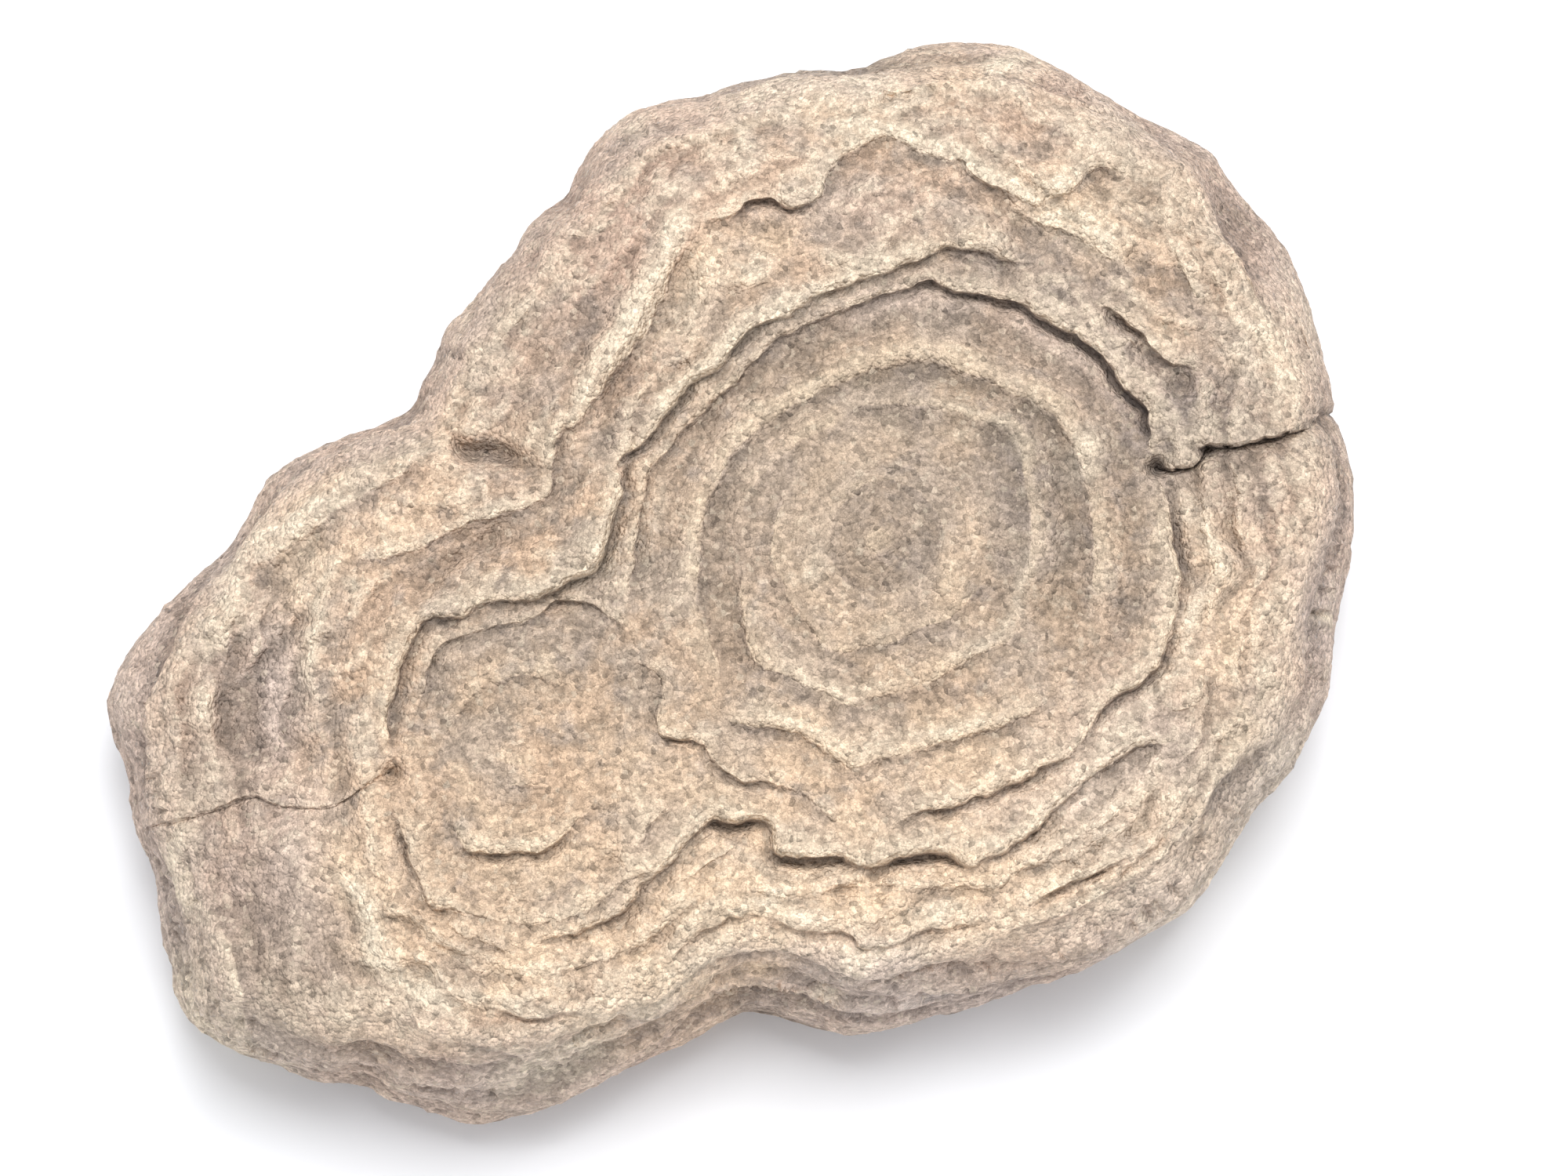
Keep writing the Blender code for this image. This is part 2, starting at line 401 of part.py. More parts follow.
def ledge_rows():
    """For each ledge and crack: its line, whether that is closed, how far beside it the rows lie
    whose points are joined along the row, and how far the rows of loose points."""
    for ledge in BACK_LEDGES + FRONT_LEDGES + SIDE_LEDGES + DOME_LEDGES:
        line = broken_line(ledge.points, ledge.closed)
        sign = 1.0 if ledge.high == "left" else -1.0
        big = ledge.step + ledge.crevice > BIG_LEDGE
        yield line, ledge.closed, [LIP_ROW * sign, FOOT_ROW * sign], [TREAD_ROW * sign] if big else []
    for crack in CRACKS:
        edge = crack.width + CRACK_MARGIN
        yield smooth_line(crack.points[:-1], LEDGE_STEP), False, [edge, 0.0, -edge], []


def row_beside(line, closed, offset):
    """The line moved sideways: to the left for an offset above nought."""
    ahead = np.roll(line, -1, axis=0) if closed else np.vstack([line[1:], 2 * line[-1:] - line[-2:-1]])
    behind = np.roll(line, 1, axis=0) if closed else np.vstack([2 * line[:1] - line[1:2], line[:-1]])
    run = ahead - behind
    left = np.stack([-run[:, 1], run[:, 0]], axis=1)
    left /= np.linalg.norm(left, axis=1)[:, None]
    return line + left * offset


def inside_line(outline, share):
    """The outline drawn in by a share of the shoulder's width, point for point."""
    return outline - normals_of(outline, NORMAL_SPREAD) * (share * shoulder_width(outline))[:, None]


def top_net(border):
    """The net of the top on the sheet, inside its border: its points and its triangles."""
    points = [tuple(p) for p in border]
    edges = []
    loop = [Vector(p) for p in border]
    for line, closed, joined, loose in ledge_rows():
        for offset in joined + loose:
            row = row_beside(line, closed, offset)
            clear = measure(border, row, closed=True)[0] > BORDER_CLEARANCE
            kept = {}
            for i in np.flatnonzero(clear):
                if is_inside(row[i], loop):
                    kept[int(i)] = len(points)
                    points.append(tuple(row[i]))
            if offset in joined:
                last = len(row) if closed else len(row) - 1
                edges += [(kept[i], kept[(i + 1) % len(row)]) for i in range(last)
                          if i in kept and (i + 1) % len(row) in kept]
    points += fill_points(border, np.array(points))
    corners = list(range(len(border)))
    found = delaunay_2d_cdt([Vector(p) for p in points], edges, [corners[::-1]], 1, MERGE_GAP)
    return np.array([tuple(p) for p in found[0]]), found[2]


def fill_points(outline, taken):
    """Points of a slightly uneven grid, wherever the net has none near."""
    low, high = outline.min(axis=0), outline.max(axis=0)
    spots = []
    for row, v in enumerate(np.arange(low[1], high[1], FILL_STEP * math.sqrt(0.75))):
        for u in np.arange(low[0] + (row % 2) * FILL_STEP / 2, high[0], FILL_STEP):
            shift = FILL_SHIFT * noise.noise_vector(Vector((u, v, FILL_PLACE)))
            spots.append((u + shift.x, v + shift.y))
    spots = np.array(spots)
    loop = [Vector(p) for p in outline]
    inside = np.array([is_inside(p, loop) for p in spots])
    clear = np.linalg.norm(spots[:, None] - taken[None], axis=2).min(axis=1) > FILL_CLEARANCE
    return [tuple(p) for p in spots[inside & clear]]


def is_inside(spot, loop):
    """Whether a spot is inside a loop of points."""
    crossings = 0
    for a, b in zip(loop, loop[1:] + loop[:1]):
        if (a.y > spot[1]) != (b.y > spot[1]):
            crossings += spot[0] < (b.x - a.x) * (spot[1] - a.y) / (b.y - a.y) + a.x
    return crossings % 2 == 1


def side_relief(place):
    """How far the side stands out at a place: lumps, and the worn ends of the layers."""
    lump = noise.noise(Vector((place.x, place.y, place.z * SIDE_LUMP_FLATNESS)) / SIDE_LUMP_SIZE)
    layers = place.z / SIDE_LAYER_PITCH + SIDE_LAYER_SWAY * noise.noise(place / SIDE_WANDER)
    bulge = math.sqrt(abs(math.sin(math.pi * layers))) - SIDE_LAYER_MIDDLE
    return SIDE_LUMP * lump + SIDE_LAYER * bulge


def stand_out(row, outward, share):
    """A row of the side, moved out and in by the side's relief, of which it takes a share."""
    relief = np.array([side_relief(Vector(p)) for p in row])
    row = row.copy()
    row[:, :2] += outward * (share * relief)[:, None]
    return row


def upper_rows(outline):
    """Rows of points from under the border of the top down to the stone's rim."""
    steepest = math.asin((1 - BORDER_SHARE) ** (ROUNDING / 2))
    rows = []
    for row in range(1, UPPER_ROWS + 1):
        turn = steepest + (math.pi / 2 - steepest) * row / UPPER_ROWS
        share = 1 - math.sin(turn) ** (2 / ROUNDING)
        rows.append(upper_place(inside_line(outline, share), outline))
    return rows


def lower_rows(rim, outline):
    """Rows of points from the stone's rim down to the edge of its flat underside."""
    outward = normals_of(rim[:, :2], NORMAL_SPREAD)
    near = range(-NORMAL_SPREAD, NORMAL_SPREAD + 1)
    smooth = sum(np.roll(rim[:, :2], k, axis=0) for k in near) / len(near)
    inset = BASE_INSET + BASE_INSET_BACK * outward[:, 1] - BASE_INSET_SIDES * np.abs(outward[:, 0])
    away = np.hypot(outline[:, 0] - NOTCH[0], outline[:, 1] - NOTCH[1])
    inset += NOTCH_DEPTH * np.exp(-(away / NOTCH_WIDTH) ** 2)
    foot = np.column_stack([smooth - outward * inset[:, None], np.zeros(len(rim))])
    down = np.column_stack([outward * (outward[:, 1] * math.cos(EYE_ELEVATION))[:, None],
                            np.full(len(rim), -math.sin(EYE_ELEVATION))])
    upper = np.column_stack([smooth, rim[:, 2]]) + down * rim[:, 2:] * SIGHT_SHARE
    lower = foot + np.column_stack([outward * FOOT_TURN, np.full(len(rim), FOOT_RISE)])
    rows = []
    for row in range(1, LOWER_ROWS + 1):
        t = row / (LOWER_ROWS + 1)
        place = ((1 - t) ** 3 * rim + 3 * (1 - t) ** 2 * t * upper
                 + 3 * (1 - t) * t * t * lower + t ** 3 * foot)
        held = ease(SIDE_FADE * t) * ease(SIDE_FADE * (1 - t))
        place[:, :2] -= outward * SIDE_HOLD * held
        share = (RIM_SHARE + (1 - RIM_SHARE) * ease(SIDE_FADE * t)) * ease(SIDE_FADE * (1 - t))
        rows.append(stand_out(place, outward, share))
    return rows + [foot]


def add_stone():
    """The whole stone as one closed mesh."""
    outline = smooth_line(OUTLINE, OUTLINE_STEP, closed=True)
    spots, triangles = top_net(inside_line(outline, BORDER_SHARE))
    mesh = bmesh.new()
    verts = [mesh.verts.new(Vector(p) * MM) for p in upper_place(spots, outline)]
    for triangle in triangles:
        face = [verts[i] for i in triangle]
        a, b, c = (spots[i] for i in triangle)
        if (b[0] - a[0]) * (c[1] - a[1]) < (b[1] - a[1]) * (c[0] - a[0]):
            face.reverse()
        mesh.faces.new(face)
    count = len(outline)
    upper = upper_rows(outline)
    above = verts[:count]
    for row in upper + lower_rows(upper[-1], outline):
        below = [mesh.verts.new(Vector(p) * MM) for p in row]
        for i in range(count):
            j = (i + 1) % count
            mesh.faces.new((above[i], above[j], below[j], below[i]))
        above = below
    mesh.faces.new(above)
    bmesh.ops.triangulate(mesh, faces=mesh.faces[:], ngon_method="EAR_CLIP")
    return add_object("stromatolite", mesh)


def add_object(name, mesh):
    """The finished mesh as an object, with the stone's material."""
    data = bpy.data.meshes.new(name)
    mesh.to_mesh(data)
    mesh.free()
    data.materials.append(stone_material())
    stone = bpy.data.objects.new(name, data)
    bpy.context.scene.collection.objects.link(stone)
    return stone


def stone_material():
    """Matt tan rock."""
    material = bpy.data.materials.new("stone")
    material.use_nodes = True
    shader = material.node_tree.nodes["Principled BSDF"]
    shader.inputs["Base Color"].default_value = STONE_COLOUR
    shader.inputs["Roughness"].default_value = STONE_ROUGHNESS
    shader.inputs["Metallic"].default_value = 0.0
    return material


def clear_scene():
    for obj in list(bpy.data.objects):
        bpy.data.objects.remove(obj)


clear_scene()
add_stone()
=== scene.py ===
"""A hand specimen of stromatolite, the layered rock that mats of microbes build up, on a plain pale
stage.

The stone's outline and the broken edges of its layers are points in millimetres on a sheet that
faces the eye: u runs to the right and v up the sheet. Each point of the sheet is carried along its
line of sight to its height on the stone. The net of points is fine along the broken edges, and the
sides go down from it in rows to the flat underside.
"""

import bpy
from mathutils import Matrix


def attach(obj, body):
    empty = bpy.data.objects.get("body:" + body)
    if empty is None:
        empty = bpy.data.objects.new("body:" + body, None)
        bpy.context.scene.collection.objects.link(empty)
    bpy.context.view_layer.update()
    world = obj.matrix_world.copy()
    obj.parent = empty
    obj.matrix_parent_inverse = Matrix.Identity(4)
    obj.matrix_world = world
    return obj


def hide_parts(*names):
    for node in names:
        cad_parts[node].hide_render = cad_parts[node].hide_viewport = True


bl_info = {
    "name": "Stromatolite",
    "version": (1, 0, 0),
    "blender": (4, 5, 0),
    "location": "3D View > Sidebar > Stromatolite",
    "description": "Adds a layered fossil stone and a plain pale stage for it",
    "category": "Add Mesh",
}

import math
from collections import namedtuple

import bpy
import numpy as np
from bpy.props import FloatProperty, FloatVectorProperty, PointerProperty
from mathutils import Vector, kdtree, noise
from mathutils.geometry import delaunay_2d_cdt

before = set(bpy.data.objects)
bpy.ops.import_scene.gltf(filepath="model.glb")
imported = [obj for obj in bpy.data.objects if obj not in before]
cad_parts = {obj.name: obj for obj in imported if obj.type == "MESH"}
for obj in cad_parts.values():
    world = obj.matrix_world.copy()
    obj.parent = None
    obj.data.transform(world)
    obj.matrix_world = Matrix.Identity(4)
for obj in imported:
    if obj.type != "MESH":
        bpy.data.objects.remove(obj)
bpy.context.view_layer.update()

MM = 0.001

# Where the eye stands: the sheet is held SHEET_DISTANCE away, over a point of the stone that is
# SHEET_LEVEL above the underside.
EYE_ELEVATION = math.radians(68)
SHEET_DISTANCE = 555.6
SHEET_LEVEL = 50.0
SHEET_CENTRE = (8.05, -18.0)

# Driving dimensions of the body, in millimetres or as shares of a height, a layer or a row.
TOP_LEVEL = 50.0
TOP_TILT = 0.045
BACK_RISE, BACK_FROM, BACK_OVER = 3.2, 30.0, 35.0
LEFT_DROP, LEFT_FROM, LEFT_OVER = 6.0, 58.0, 45.0
EDGE_ROLL, EDGE_REACH = 5.0, 12.0
RIM_LEVEL, RIM_TILT = 19.0, 0.10
ROUNDING, ROUNDING_TILT = 1.75, 0.006
SHOULDER_BLEND = 60.0
BASE_INSET, BASE_INSET_BACK, BASE_INSET_SIDES = 10.5, 1.0, 5.0
BELLY_DROP, FOOT_BULGE, FOOT_BULGE_LEVEL = 0.45, 5.5, 1.0
SIDE_LUMP, SIDE_LUMP_SIZE, SIDE_LUMP_FLATNESS = 4.2, 26.0, 2.6
SIDE_LAYER, SIDE_LAYER_PITCH, SIDE_WANDER, SIDE_WANDER_SIZE = 2.4, 9.5, 1.3, 45.0
RIM_SHARE, ROWS_FADE = 0.1, 3
NOTCH, NOTCH_DEPTH, NOTCH_WIDTH = (-3.0, -69.0), 8.0, 12.0
SIDE_HOLD = 3.0
NICK_DEPTH, NICK_SIZE = 0.6, 4.3
CHIP_DEPTH, CHIP_SIZE = 0.42, 1.7
DEEPEST_HOLE = 7.0
EDGE_FADE = 1.5
WALL_FROM, WALL_OVER = 0.05, 0.4

# The thin layers that show between the broken edges, in millimetres. Those of the sides wander by
# a share of their pitch, and are worn here and there.
LAMINA_PITCH, LAMINA_RISE, LAMINA_REACH, LAMINA_STEP = 3.3, 0.4, 9.0, 1.2
SIDE_LAMINA_PITCH, SIDE_LAMINA_DEPTH, SIDE_LAMINA_EDGE = 3.4, 1.0, 0.25
SIDE_LAMINA_WANDER, SIDE_LAMINA_WANDER_SIZE = 1.1, 21.0
SIDE_WEAR, SIDE_WEAR_CHANGE, SIDE_WEAR_SIZE = 0.6, 0.8, 8.0

# Gentle unevenness: (size and height in millimetres, the slice of the noise that it is cut from).
# A height here may also be how much a wandering layer or the strength of a step changes.
TOP_LUMPS = (17.0, 1.3, 3.7)
TOP_RIPPLES = (7.0, 0.45, 8.1)
LAMINA_WANDER = (9.0, 0.55, 2.3)
LEDGE_VIGOUR = (13.0, 0.55, 5.9)
TERRACE_WANDER = (24.0, 0.9, 12.3)
TERRACE_SWAY = (8.0, 0.5, 14.1)
TERRACE_VIGOUR = (15.0, 1.1, 17.7)

# The seed of the noise that moves points sideways, and the slices that its kinds are cut from.
NOISE_SEED = 1
NICK_SLICE, CHIP_SLICE, KINK_SLICE, FILL_SLICE, PATCH_SLICE = 1.5, 6.5, 9.5, 0.5, 4.5

# Between the rim around the two domes and the outline, the layers end in steps that follow both:
# their number, height, and the share of a layer's width that a step takes. Right of and above the
# line at STEP_LEVEL, which leans by STEP_LEAN, the outer layer is the higher one at a step.
TERRACES, TERRACE_HEIGHT, TERRACE_EDGE = 5, 1.5, 0.18
FINE_TERRACES, FINE_HEIGHT = 11, 0.32
TERRACE_STRENGTH, TERRACE_LEAST, TERRACE_MOST, TERRACE_FADE = 0.75, 0.1, 1.6, 7
STEP_LEVEL, STEP_LEAN, STEP_TURN = -30.0, 0.2, 10.0
RIM_LOOP = (
    (-25.2, -3.3), (-23.3, 10.8), (-17, 24), (-2.9, 38.3), (7.5, 43.5), (23.3, 48.8), (37.9, 45.2),
    (47.5, 39.8), (54.2, 31.7), (58.3, 22.1), (62.3, 6), (61.7, -6.3), (54.2, -16.5), (47.5, -24.6),
    (35, -31.5), (21.7, -36), (10, -41), (-2, -42), (-12, -38), (-22.5, -47.5), (-32, -54), (-42, -56),
    (-52, -53), (-59.4, -44.5), (-62.5, -33.8), (-62.9, -20), (-58, -9), (-48, -5.5), (-37, -2.6),
    (-30.8, -2),
)

# How finely the stone is drawn, in millimetres.
OUTLINE_STEP = 1.25
LEDGE_STEP = 0.85
FILL_STEP = 1.0
FILL_CLEARANCE = 0.65
BORDER_SHARE = 0.22
BORDER_CLEARANCE = 0.45
BASE_STEP = 3.2
UPPER_ROWS = 14
LOWER_ROWS = 34
MERGE_GAP, BASE_MERGE_GAP = 0.04, 0.01

# Where the drawing of a broken edge puts its points, beside the line, and how crevices, lips, cracks
# and patches of colour fade away from theirs, in millimetres or as shares.
LIP_ROWS = (0.1, -0.14)
LOOSE_ROWS = (0.8, 1.7, -0.5, -1.0, -1.9)
CREVICE_SHARE, FOOT_DEPTH, FOOT_WIDTH = 0.3, 0.22, 1.5
# GAP_FULL is the depth of crevice at which its painted shade is full.
GAP_MIDDLE, GAP_WIDTH, GAP_WIDENS, GAP_AROUND, GAP_FULL = 0.8, 0.4, 0.45, 2.6, 3.4
GAP_FADE, END_FADE, END_SHARE = 4.0, 9.0, 0.15
# How far the paint of a lip (paler rock and a painted highlight) and the painted shade at a step's foot
# reach.
LIP_STEP, LIP_REACH, FOOT_REACH = 2.4, 1.7, 1.3
BAND_REACH = 12.0
KINK_DEPTH = 0.35
CRACK_EDGE, CRACK_REACH, CRACK_FADE, CRACK_NEAR = 0.15, 7.0, 12, 28.0
CRACK_START = 0.3
FILL_SHIFT, FILL_CHANGE = 0.3, 1.7
PATCH_EDGE, PATCH_SHIFT, PATCH_FALL = 6.0, 2.2, 0.9
BASE_DENT, BASE_DENT_SIZE = 0.5, 9.0
UNEVEN = "uneven"
UNEVEN_LEVELS = 20
DOME_EVENNESS = 0.6
NORMAL_SPREAD = 11
SPOTS_AT_ONCE = 2048

# How far a point stands out of the rock around it: passes of smoothing, and the height in
# millimetres that counts as full. From these marks the material paints the crests paler, partly
# with a painted highlight, and puts painted shade in the hollows and dips.
NEAR_PASSES, NEAR_FULL = 4, 0.22
WIDE_PASSES, WIDE_FULL = 60, 0.75

# The small lumps and pits all over the rock: their sizes in metres, and the pits' share of the depth.
LUMP_RELIEF_SIZE, PIT_RELIEF_SIZE, PIT_SHARE = 0.0035, 0.0014, 0.6
SHARPEST_BEND = math.radians(50)

# Features of the rock's colour: their sizes in metres, the fine grains' share of a grain's size, how
# much the stripes wander and how close they are, and the heights of flecks and stripes in metres.
BLOTCH_SIZE, FLECK_SIZE, MOTTLE_SIZE, FINE_GRAIN_SHARE = 0.011, 0.0026, 0.0055, 0.55
STRIPE_WANDER, STRIPE_SCALE = 3.5, 1.1
FLECK_RELIEF, STRIPE_RELIEF = 0.0006, 0.0003

# The soft lamp's place, and how near the camera sees, in metres.
LAMP_PLACE = (0.08, 0.12, 1.0)
NEAREST_SEEN = 0.01

# The outline, clockwise from the notch at the left where the two domes meet.
OUTLINE = (
    (-59, 28.8), (-57.5, 32.9), (-55.3, 36.5), (-53.8, 40.8), (-50, 45), (-46.5, 49.6), (-43.3, 53.3),
    (-40, 58.5), (-35, 61.9), (-33.1, 65.8), (-30, 70.8), (-25, 75.2), (-18.3, 77.5), (-13.3, 78.3),
    (-7.9, 80.2), (0, 81.9), (5.8, 82.6), (10.8, 82.5), (16.7, 84.6), (22.1, 86.3), (29.2, 86.9),
    (35.8, 86.3), (42.5, 83.5), (47.5, 80.7), (51.7, 77.9), (57.5, 74.4), (62.9, 71.9), (67.9, 69),
    (70.4, 65.4), (73.8, 60.8), (78.1, 56.3), (81.3, 51.3), (84, 44.6), (85.8, 37.5), (87.7, 29.4),
    (86.9, 27.7), (88.3, 25.8), (90.2, 18.8), (90.6, 10.4), (89.8, 2.1), (87.9, -6.3), (86.7, -15.8),
    (84.2, -21.7), (80.4, -28.3), (75.8, -33.8), (72.1, -40.4), (68.3, -46.3), (63.8, -51.3),
    (58.3, -54.6), (50, -59.6), (43.3, -62.3), (36.3, -64.4), (30.8, -66.5), (23.3, -68.3), (16.7, -70.4),
    (9.6, -70.9), (2.5, -68.8), (-5, -67.2), (-10, -69.2), (-16.3, -72.5), (-23.3, -75.6), (-30, -79.2),
    (-36.7, -82.5), (-42.9, -84.2), (-50.4, -85), (-56.7, -83.2), (-63.8, -81.3), (-66.5, -79.4),
    (-73.3, -79), (-80, -76.7), (-86.7, -74.2), (-91.7, -71.5), (-95.8, -67.9), (-97.9, -60.8),
    (-99.6, -52.9), (-100.5, -45.8), (-103.5, -37.9), (-104.8, -30), (-106.9, -23.3), (-107.7, -18),
    (-104.8, -10.8), (-100.4, -4.8), (-95, 0.8), (-89.6, 5.2), (-85.4, 10.8), (-82.1, 16.7),
    (-77.5, 20.4), (-70.4, 23.8), (-64.2, 25.8),
)

# How far in from the outline the sides turn into the top, at stations around it: (u, v, width).
SHOULDERS = (
    (14, -71, 11.5), (32, -66, 10.5), (50, -60, 9.0), (70, -43, 7.0), (86, -16, 7.0), (90, 12, 6.5),
    (87, 30, 6.0), (80, 53, 7.5), (62, 72, 8.0), (42, 84, 7.0), (20, 86, 6.5), (-8, 80, 7.0),
    (-32, 69, 7.5), (-48, 47, 7.5), (-59, 29, 6.0), (-80, 18, 7.0), (-98, -2, 8.0), (-107, -20, 8.0),
    (-101, -42, 8.0), (-97, -64, 8.5), (-82, -76, 10.0), (-64, -81, 13.5), (-50, -85, 14.0),
    (-30, -79, 11.5), (-15, -72, 12.5), (-6, -67, 13.5),
)

# A ledge is the broken edge of a layer: a step of height step, high on the side that high names
# as one walks along its points, with a crevice of depth crevice under it. Away from the edge the
# step fades out within reach, and a worn edge is rounded over the width worn.
Ledge = namedtuple("Ledge", "points high step crevice reach worn closed", defaults=(9.0, 0.35, False))

BACK_LEDGES = (
    Ledge(((36, 60.8), (41.9, 58.3), (48, 55), (55, 51.2)), "left", 1.4, 0.2, 6.0, 0.7),
    Ledge(((40, 51.8), (34, 52.6), (30, 54.2), (23.3, 53.5), (17.5, 50.6), (10.8, 48.5), (7.5, 47.7),
        (2.1, 44.6), (-4.8, 41.5), (-9.8, 36.5), (-10.4, 35), (-14.6, 33.3), (-17.5, 28.8), (-22.9, 22.9),
        (-26.3, 19.6), (-26, 15.4), (-27.5, 10.8), (-29.6, 3.8), (-34.2, 1.5), (-40, -1.7), (-47.5, -2.1),
        (-51.7, -4.8), (-56.7, -4.8), (-60, -9.6), (-62.9, -20), (-62.5, -27)), "right", 2.8, 0.8, 11.0,
        0.5),
    Ledge(((-25.2, -3.3), (-24.2, 2.1), (-23.3, 10.8), (-21.5, 18.3), (-17, 24), (-9.5, 31.5),
        (-2.9, 38.3), (1.7, 41.3), (7.5, 43.5), (15.8, 46.5), (19.2, 47.7), (23.3, 48.8), (28.3, 47.1),
        (37.9, 45.2), (42.1, 42.3), (47.5, 39.8), (51.7, 35.8), (54.2, 31.7), (57.9, 27.9), (58.3, 22.1),
        (58.8, 20.6)), "left", 2.0, 0.6, 9.0, 0.5),
    Ledge(((-23.8, -8.3), (-26.7, -5.8), (-30.8, -2.4), (-36.3, -2.6), (-40, -4.9), (-47.9, -6.8),
        (-54.8, -9.4), (-56.5, -12.5), (-58.3, -20.4)), "right", 1.3, 0.4),
    Ledge(((48.3, 45.8), (53.3, 43.3), (56.7, 40.8), (59.6, 37.1), (65.8, 34.6)), "left", 1.6, 0.6),
    Ledge(((-12.9, 58.3), (-7.9, 60.2), (-2.9, 62.3), (0.8, 61), (5.4, 62.1), (7.5, 66.7), (12.1, 70.6),
        (17.5, 72.1), (22.5, 69.4), (28.3, 68.3), (30.2, 66), (35.8, 63.3), (40.4, 61.3), (45.4, 63.8),
        (49.8, 67.1), (56.7, 65.4)), "left", 2.3, 0.3, 9.0, 1.0),
    Ledge(((-15.4, 56.5), (-18.4, 50), (-20, 45), (-23.3, 39.2), (-28.3, 33.3), (-32.5, 27.1),
        (-36.3, 23.8), (-37.3, 15.4), (-41.3, 12.9), (-48.3, 11), (-53.3, 9.2), (-59.2, 5.8),
        (-69.2, 4.2)), "right", 2.1, 0.2, 9.0, 0.9),
    Ledge(((-52.5, 23.3), (-57.9, 21.3), (-62.1, 17.7), (-67.1, 15), (-72.5, 11.7), (-77.8, 7.8),
        (-83.3, 3.6), (-86.9, -2.5), (-89.4, -11.3)), "right", 1.4, 0.0, 9.0, 1.4),
    Ledge(((-70, 6.7), (-72.7, 3), (-74.6, -4.2), (-76.3, -14.2), (-74.6, -18.8)), "left", 1.0, 0.2, 9.0,
        0.9),
    Ledge(((-80, -0.8), (-83.8, -5), (-83.3, -8.3), (-84.6, -11.7)), "right", 1.0, 0.2, 9.0, 0.9),
    Ledge(((54.6, 61.7), (59.6, 57.9), (62.5, 52.9), (65, 47.5), (69.6, 43.8)), "left", 1.0, 0.4, 9.0,
        0.8),
    Ledge(((39.6, 79.8), (42, 77.5), (45, 76), (50, 75.3), (54.5, 74.3)), "left", 0.8, 0.9),
    Ledge(((-37, 54.5), (-34.5, 56), (-31, 56.5), (-27, 58.3)), "left", 0.8, 0.8),
    Ledge(((-46, 38.5), (-44, 41), (-41, 44), (-40.5, 46.5)), "left", 0.8, 0.8),
    Ledge(((80.4, 42.9), (82.1, 39.6), (84.2, 33.3), (85.4, 31)), "left", 0.8, 1.2),
)

